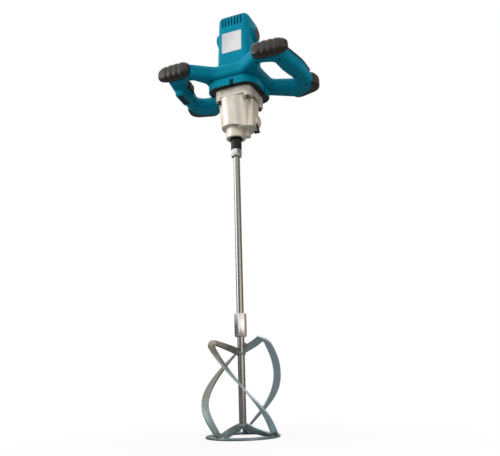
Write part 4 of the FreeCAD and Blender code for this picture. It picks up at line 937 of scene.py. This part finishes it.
@dataclass
class FrontBumper:
    """A ribbed rubber horn on the front corner of each grip, in millimetres."""

    start: float = 71.1
    length: float = 74.0
    front: float = -108.0 + BACK
    depth: float = 24.0
    height: float = 33.0
    level: float = 734.25
    corner: float = 10.0
    end_inset: float = 3.0
    cap_inset: float = 2.0
    cap_rise: float = 0.6
    # Places and widths of the grooves as shares of the length, and the size left in them
    grooves: tuple[float, ...] = (0.29, 0.47, 0.65)
    groove_half: float = 0.035
    groove_room: float = 0.06
    groove_share: float = 0.885
    # Along the bumper: place, height and depth shares, and how far back its middle stands
    sections: tuple[tuple[float, float, float, float], ...] = (
        (0.0, 0.62, 0.60, 0.47), (0.05, 0.86, 0.80, 0.50), (0.16, 1.02, 1.0, 0.50), (0.50, 1.05, 1.05, 0.52),
        (0.78, 0.99, 0.98, 0.54), (0.93, 0.80, 0.76, 0.58), (1.0, 0.52, 0.50, 0.61))

    def shares(self, along: float) -> Triple:
        """Return the section's shares at a place along the bumper.

        Args:
            along: the place from 0 to 1.

        Returns:
            The shares of height, depth and setback.
        """
        for near, far in zip(self.sections, self.sections[1:]):
            if near[0] <= along <= far[0]:
                step = (along - near[0]) / (far[0] - near[0])
                return tuple(a + (b - a) * step for a, b in zip(near[1:], far[1:]))
        raise ValueError(along)

    def rings(self) -> list[tuple[float, float, float, float]]:
        """Return every cross-section from end to end, with the grooves in place of what they cut."""
        found = [ring for ring in self.sections
                 if all(abs(ring[0] - groove) > self.groove_room for groove in self.grooves)]
        for groove in self.grooves:
            for shift, share in ((-self.groove_half, 1.0), (0.0, self.groove_share), (self.groove_half, 1.0)):
                tall, deep, back = self.shares(groove + shift)
                found.append((groove + shift, tall * share, deep * share, back))
        return sorted(found)

    def build(self, side: Side) -> Piece:
        """Shape one bumper ring by ring and round it.

        Args:
            side: which grip it sits on.

        Returns:
            The bumper.
        """
        sign, name = side.value, side.name.lower()
        middle = Vector((sign * (self.start + self.length / 2), self.front + self.depth / 2, self.level)) * MM
        bench = Bench("front_bumper_rubber_" + name)
        bench.block(middle, Vector((self.length, self.depth, self.height)) * MM)
        bench.facing(ACROSS, -ACROSS, kind="EDGE")
        bpy.ops.mesh.bevel(offset=self.corner * MM, segments=4, affect="EDGES")
        rings = [(Vector((sign * (self.start + self.length * along) * MM, middle.y, middle.z)), *shares)
                 for along, *shares in self.rings()]
        for place, *_ in rings[1:-1]:
            bench.ring(place, ACROSS)
        for place, tall, deep, back in rings:
            bench.size_ring(place, ACROSS, (1.0, deep, tall))
            bpy.ops.transform.translate(value=(0.0, (back - 0.5) * self.depth * MM, 0.0))
        bench.pick(lambda spot, _: self.length / 2 * MM - abs(spot.x - middle.x) < NEAR)
        bpy.ops.mesh.inset(thickness=self.end_inset * MM, use_individual=True)
        bpy.ops.mesh.inset(thickness=self.cap_inset * MM, depth=self.cap_rise * MM, use_individual=True)
        bench.modifier("SUBSURF", levels=2, render_levels=2)
        return settle(bench.close(SOFT), Body.MACHINE, "black_rubber", "front_bumper_" + name)


@dataclass
class RearBumper:
    """A soft rubber corner at the back of each grip, in millimetres."""

    voxel: float = 1.3
    rounds: int = 22
    proud: float = 0.7

    def build(self, side: Side) -> Piece:
        """Soften a copy of the corner and let it stand a little proud.

        Args:
            side: which grip it sits on.

        Returns:
            The bumper.
        """
        name = side.name.lower()
        node = "rear_bumper_" + name
        bench = Bench("rear_bumper_rubber_" + name).take(copy_stock("rear", frame["nodes"][node]))
        bench.soften(self.voxel, self.rounds).modifier("DISPLACE", strength=self.proud * MM, mid_level=0.0)
        return settle(bench.close(SOFT), Body.MACHINE, "black_rubber", node)


@dataclass
class Handle:
    """The two handle shells, softened like moulded plastic, with their parting line, in millimetres."""

    voxel: float = 1.6
    rounds: int = 26
    low: float = 718.5
    top: float = 750.0
    parting: float = 734.0
    line: float = 0.22
    half_width: float = 158.0
    half_depth: float = 100.0
    screw_head: float = 3.3
    screw_sink: float = 7.0
    screws: tuple[tuple[float, float], ...] = (
        (0.247, -0.56), (0.475, -0.80), (0.867, 0.48), (0.544, 0.74), (-0.247, -0.56), (-0.475, -0.80),
        (-0.867, 0.48), (-0.544, 0.74), (0.755, -0.70), (0.800, 0.04))
    base_half: float = 46.0
    base_corner: float = 16.0
    base_top: float = 754.0
    column_half: float = 39.5
    column_corner: float = 14.0
    column_shift: float = 2.2
    core: float = 0.78
    # How far fills reach into the shells
    screw_fill: float = 0.3
    base_fill: float = 1.6
    column_fill: float = -0.4
    over: float = 1.0
    column_over: float = 10.0
    # Room round what the handle carries, and how far tools stand out of it
    base_room: float = -0.3
    column_room: float = -1.2
    screw_reach: float = 10.0
    base_reach: float = 20.0
    column_reach: float = 60.0
    # The trigger's window and the lock button's slot and rim: low corner, high corner and lean
    window: tuple[Triple, Triple, float] = ((-124.0, -43.4 + BACK, 724.1), (-98.5, -8.6 + BACK, 741.4), 0.0)
    slot: tuple[Triple, Triple, float] = ((-129.9, -45.4 + BACK, 690.0), (-118.1, -2.6 + BACK, 724.6), 6.6)
    rim: tuple[Triple, Triple, float] = ((-135.0, -51.0 + BACK, 707.0), (-113.0, 3.0 + BACK, 724.0), 6.6)
    rim_corner: float = 4.0

    def screw_places(self) -> tuple[tuple[float, float], ...]:
        """Return where the screws stand, across and in depth."""
        return tuple((x * self.half_width, y * self.half_depth + BACK) for x, y in self.screws)

    def build(self, bumpers: Sequence[Piece]) -> None:
        """Fill the shells to one body, soften it, cut it out again and part it.

        Args:
            bumpers: the rubber bumpers that it carries.
        """
        body = self.blank().soften(self.voxel, self.rounds)
        for tool in self.tools(bumpers):
            body.carve(tool)
        reach = self.half_width * 2
        for name, low, high in (("upper", self.parting + self.line, self.top + reach),
                                ("lower", self.low - reach, self.parting - self.line)):
            half = Bench("handle_skin_" + name).take(copy_stock("half", body.piece, merge=0.0))
            half.carve(box_stock("half_tool", (-reach, -reach, low), (reach, reach, high)), "INTERSECT")
            settle(half.whole().close(MOULDED), Body.MACHINE, "teal_plastic", "handle_%s_shell" % name)
        bpy.data.objects.remove(body.piece)

    def blank(self) -> Bench:
        """Return both shells with their openings filled and the column's foot put in."""
        nodes = frame["nodes"]
        bench = Bench("handle_blank").take(copy_stock("blank", nodes["handle_upper_shell"]))
        fills = [copy_stock("fill", nodes[name]) for name in (
            "handle_lower_shell", "rear_bumper_left", "rear_bumper_right", "grip_pad_left", "grip_pad_right",
            "trigger", "lock_button", "cable_gland")]
        horns = ("front_bumper_left", "front_bumper_right")
        fills += [copy_stock("fill", nodes[name], self.core) for name in horns]
        fills += [disc_stock("fill", self.screw_head + self.screw_fill, self.low,
                             self.low + self.screw_sink + self.over, x, y) for x, y in self.screw_places()]
        fills.append(box_stock("fill", *self.rim[:2], corner=self.rim_corner, lean=self.rim[2]))
        fills.append(self.base("fill", self.base_fill, self.low, self.base_top + self.over))
        fills.append(self.column("fill", self.column_fill, self.low, self.base_top + self.column_over))
        return bench.join(*fills)

    def base(self, name: str, grow: float, low: float, high: float) -> Piece:
        """Return a block like the motor's base, grown on each side, from one level to another."""
        half = self.base_half + grow
        return box_stock(name, (-half, BACK - half, low), (half, BACK + half, high), self.base_corner)

    def column(self, name: str, grow: float, low: float, high: float) -> Piece:
        """Return a block like the column's foot, grown on each side, from one level to another."""
        half, x = self.column_half + grow, self.column_shift
        return box_stock(name, (x - half, BACK - half, low), (x + half, BACK + half, high),
                         self.column_corner)

    def tools(self, bumpers: Sequence[Piece]) -> list[Piece]:
        """Return what is cut out of the softened body.

        Args:
            bumpers: the rubber bumpers that it carries.

        Returns:
            The cutting objects.
        """
        nodes = frame["nodes"]
        rubber = [copy_stock("tool", piece) for piece in bumpers]
        rooms = [copy_stock("tool", nodes[name]) for name in ("grip_pad_left", "grip_pad_right")]
        rooms.append(self.base("tool", self.base_room, self.low - self.base_reach, self.top + self.over))
        rooms += [box_stock("tool", near, far, lean=lean) for near, far, lean in (self.window, self.slot)]
        foot, sink = self.low - self.screw_reach, self.low + self.screw_sink
        holes = [disc_stock("tool", self.screw_head, foot, sink, x, y) for x, y in self.screw_places()]
        holes.append(self.column("tool", self.column_room, self.top, self.base_top + self.column_reach))
        return [Bench("tools").take(group[0]).join(*group[1:]).piece for group in (rubber, rooms, holes)]


@dataclass
class HexPart:
    """A turned hexagon with chamfered ends and a bore, in millimetres."""

    node: str
    low: float
    high: float
    flats: float = 21.0
    sides: int = 96
    corners: int = 6
    turn: float = 30.0
    bore: float = 7.0
    chamfer: float = 0.95
    land: float = 0.5
    lip: float = 0.6
    edge: float = 0.25
    edge_angle: float = 28.0
    spare: float = 4.0

    def build(self) -> None:
        """Turn a bored and chamfered bar and mill its six flats."""
        middle = Vector((SPINDLE_X, BACK, (self.low + self.high) / 2)) * MM
        corner, half = self.flats / math.sqrt(3.0), self.flats / 2
        length = self.high - self.low
        bench = Bench(self.node + "_turned").bar(middle, corner, length, self.sides)
        bench.facing(UP, -UP)
        bpy.ops.mesh.bevel(offset=(corner - half) * self.chamfer * MM, segments=1, affect="EDGES")
        bench.facing(UP, -UP)
        bpy.ops.mesh.inset(thickness=(half - self.bore - self.land) * MM, use_individual=True)
        bpy.ops.mesh.inset(thickness=self.lip * MM, depth=-self.lip * MM, use_individual=True)
        bpy.ops.mesh.bridge_edge_loops()
        bench.close(TURNED)
        turn = (0.0, 0.0, math.radians(self.turn))
        flats = Bench("flats").bar(middle, corner, length + self.spare, self.corners, turn)
        bench.carve(flats.close(), "INTERSECT", "EXACT").bevel(self.edge, self.edge_angle)
        settle(bench.close(TURNED), Body.SPINDLE, "bright_steel", self.node, paint="hexagon")


@dataclass
class Welds:
    """The beads that join the strips to the shaft and to the ring, in millimetres."""

    shaft: float = 7.0
    bead: float = 1.7
    bead_gap: float = 0.3
    bead_sides: int = 12
    collars: tuple[float, ...] = (155.0, 152.0, 21.5)
    collar_sides: int = 60
    # Lumps of a collar: how many, how wide as a cosine, how much they swell, and the scatter
    lumps: int = 15
    lump_width: float = 0.992
    lump_size: Triple = (1.05, 1.05, 1.18)
    scatter: float = 0.2
    ring_top: float = 4.0
    ring_radius: float = 63.5
    ring_angles: tuple[float, ...] = (113.8, 1.1, 255.0)
    # Steps of a straight bead: how long and how many, their sizes in turn, and how the ends shrink
    run: float = 20.0
    steps: int = 9
    waves: tuple[float, float] = (0.88, 1.12)
    fade: float = 0.3
    end: float = 0.5

    def build(self) -> None:
        """Lay every bead."""
        beads = [self.collar(number, level) for number, level in enumerate(self.collars)]
        beads += [self.line(number, math.radians(angle)) for number, angle in enumerate(self.ring_angles)]
        for bead in beads:
            settle(bead, Body.SPINDLE, "zinc_steel")

    def collar(self, number: int, level: float) -> Piece:
        """Return a lumpy bead round the shaft.

        Args:
            number: the bead's number, which makes its lumps its own.
            level: its level.

        Returns:
            The bead.
        """
        middle = Vector((SPINDLE_X, BACK, level)) * MM
        bench = Bench("weld_collar_%d" % (number + 1))
        bench.start(bpy.ops.mesh.primitive_torus_add, location=middle, major_segments=self.collar_sides,
                    minor_segments=self.bead_sides, minor_radius=self.bead * MM,
                    major_radius=(self.shaft + self.bead_gap) * MM)
        for step in range(self.lumps):
            turn = math.tau * step / self.lumps
            out = Vector((math.cos(turn), math.sin(turn)))
            bench.pick(lambda spot, _: (spot - middle).normalized().xy.dot(out) > self.lump_width, "VERT")
            bpy.ops.transform.resize(value=self.lump_size, center_override=middle)
        bpy.ops.mesh.select_all(action="SELECT")
        bpy.ops.transform.vertex_random(offset=self.scatter * MM, seed=number)
        return bench.modifier("SUBSURF", levels=1, render_levels=1).close(SOFT)

    def line(self, number: int, angle: float) -> Piece:
        """Return a straight bead on the ring, laid in overlapping steps.

        Args:
            number: the bead's number.
            angle: where on the ring it lies, in radians.

        Returns:
            The bead.
        """
        out = Vector((math.cos(angle), math.sin(angle), 0.0))
        along = Vector((-out.y, out.x, 0.0))
        middle = (Vector((SPINDLE_X, BACK, self.ring_top)) + out * self.ring_radius) * MM
        bench = Bench("weld_line_%d" % (number + 1))
        bench.bar(middle, self.bead, self.run, self.bead_sides, (math.pi / 2, 0.0, angle))
        for step in range(1, 2 * self.steps):
            share = step / (2 * self.steps) - 0.5
            place = middle + along * share * self.run * MM
            bench.ring(place, along)
            size = self.waves[step % 2] * (1.0 - self.fade * abs(2 * share) ** 4)
            bench.size_ring(place, along, (size, size, size))
        for share in (-0.5, 0.5):
            bench.size_ring(middle + along * share * self.run * MM, along, (self.end, self.end, self.end))
        return bench.modifier("SUBSURF", levels=1, render_levels=1).close(SOFT)


@dataclass
class RatingPlate:
    """The bare white plate on the column's front, in millimetres."""

    x: float = 1.0
    width: float = 46.0
    low: float = 787.0
    high: float = 836.0
    skin: float = 0.8
    sink: float = 0.1
    corner: float = 2.5
    border: float = 1.2
    step: float = 0.2
    step_depth: float = 0.12
    rim: float = 0.25
    rim_angle: float = 50.0
    foot_half: float = 39.5
    foot_level: float = 754.0
    draft: float = 3.5 / 116.5

    def build(self) -> None:
        """Cut the plate, round its corners and lean it with the column."""
        middle_z = (self.low + self.high) / 2
        face = BACK - self.foot_half + self.draft * (middle_z - self.foot_level)
        middle = Vector((self.x, face - self.skin / 2 + self.sink, middle_z)) * MM
        size = Vector((self.width, self.skin + 2 * self.sink, self.high - self.low)) * MM
        bench = Bench("rating_plate_film").block(middle, size)
        bench.facing(DEEP, -DEEP, kind="EDGE")
        bpy.ops.mesh.bevel(offset=self.corner * MM, segments=6, affect="EDGES")
        bench.facing(-DEEP)
        bpy.ops.mesh.inset(thickness=self.border * MM)
        bpy.ops.mesh.inset(thickness=self.step * MM, depth=-self.step_depth * MM)
        bpy.ops.mesh.select_all(action="SELECT")
        bpy.ops.transform.rotate(value=math.atan(self.draft), orient_axis="X", center_override=middle)
        bench.bevel(self.rim, self.rim_angle)
        settle(bench.close(MOULDED), Body.MACHINE, "plate_white", "rating_plate")


class Recess(Enum):
    """The drives that screws have."""

    CROSS = 4
    HEX = 6


@dataclass
class ScrewSet:
    """Screws of one kind, seen from below, in millimetres."""

    node: str
    recess: Recess
    places: Sequence[tuple[float, float]]
    head: float
    head_low: float
    head_high: float
    shank: float
    tip: float
    # Shares of the head's radius, of its height for the recess, and of a width for what tapers
    crown: float = 0.16
    key_depth: float = 0.6
    key_radius: float = 0.55
    slot_length: float = 1.25
    slot_width: float = 0.36
    slot_taper: float = 0.6
    tip_taper: float = 0.7
    # The turn of a crossed recess, in radians
    slot_turn: float = 0.4

    def build(self) -> None:
        """Model one screw and set copies of it at every place."""
        model = self.model()
        copies = []
        for x, y in self.places:
            copy = copy_stock(self.node + "_copy", model)
            Bench(copy.name).take(copy).open()
            bpy.ops.transform.translate(value=(x * MM, y * MM, 0.0))
            copies.append(copy)
        bpy.data.objects.remove(model)
        bench = Bench(self.node + "_heads").take(copies[0]).join(*copies[1:])
        settle(bench.close(MOULDED), Body.MACHINE, "screw_steel", self.node)

    def model(self) -> Piece:
        """Return one screw on the column's axis, its head down."""
        height = self.head_high - self.head_low
        middle = UP * (self.head_low + self.head_high) / 2 * MM
        bench = Bench(self.node + "_model").bar(middle, self.head, height, ROUND)
        bench.facing(-UP)
        bpy.ops.mesh.bevel(offset=self.head * self.crown * MM, segments=3, affect="EDGES")
        bench.facing(UP)
        bpy.ops.mesh.inset(thickness=(self.head - self.shank) * MM)
        rise, taper = UP * (self.tip - self.head_high) * MM, (self.tip_taper, self.tip_taper, 1.0)
        bpy.ops.mesh.extrude_region_move(TRANSFORM_OT_translate={"value": rise})
        bpy.ops.transform.resize(value=taper, center_override=UP * self.tip * MM)
        bench.close(MOULDED)
        deep, low = height * self.key_depth, UP * self.head_low * MM
        if self.recess is Recess.HEX:
            key = Bench("key").bar(low, self.head * self.key_radius, 2 * deep, self.recess.value)
            return bench.carve(key.close()).close(MOULDED)
        size = Vector((self.head * self.slot_length, self.head * self.slot_width, 2 * deep)) * MM
        for turn in (0.0, math.pi / 2):
            key = Bench("key").block(low, size, turn + self.slot_turn)
            key.facing(UP)
            bpy.ops.transform.resize(value=(self.slot_taper, self.slot_taper, 1.0),
                                     center_override=low + UP * deep * MM)
            bench.carve(key.close())
        return bench.close(MOULDED)


def quarters(x: float, y: float) -> list[tuple[float, float]]:
    """Return a place beside the motor's axis and its three quarter turns, in millimetres."""
    return [(across, deep + BACK) for across, deep in ((x, y), (-y, x), (-x, -y), (y, -x))]


def dress_solids() -> None:
    """Put the finish of each solid that keeps its shape on its material slot."""
    slots = {part["node"]: part["material_slot"] for part in frame["record"]["subparts"]}
    for name, node in sorted(frame["nodes"].items()):
        for slot in node.material_slots:
            slot.material = PAINTS[slots[name]]
        LOG.info("node %s in %s", name, slots[name])


def main() -> None:
    """Build the studio, paint the finishes, dress the solids and make every piece."""
    logging.basicConfig(level=logging.INFO, format="%(message)s")
    Studio().build()
    PAINTS.update({finish.slot: finish.paint() for finish in FINISHES}, hexagon=HEX_STEEL.paint())
    dress_solids()
    bumpers = [kind.build(side) for kind in (FrontBumper(), RearBumper()) for side in Side]
    handle = Handle()
    handle.build(bumpers)
    HexPart("rod_nut", low=560.0, high=576.0).build()
    HexPart("rod_coupling", low=185.0, high=230.0, turn=3.0).build()
    Welds().build()
    RatingPlate().build()
    for screws in (
            ScrewSet("gearbox_screws", Recess.HEX, quarters(-33.0, -33.0), head=4.2, head_low=672.0,
                     head_high=677.0, shank=2.5, tip=723.0),
            ScrewSet("hub_screws", Recess.CROSS, quarters(7.0, -52.5), head=2.6, head_low=708.0,
                     head_high=711.0, shank=1.8, tip=730.5),
            ScrewSet("handle_screws", Recess.CROSS, handle.screw_places(), head=handle.screw_head,
                     head_low=722.5, head_high=725.5, shank=1.8, tip=741.0)):
        screws.build()


if __name__ == "__main__":
    main()
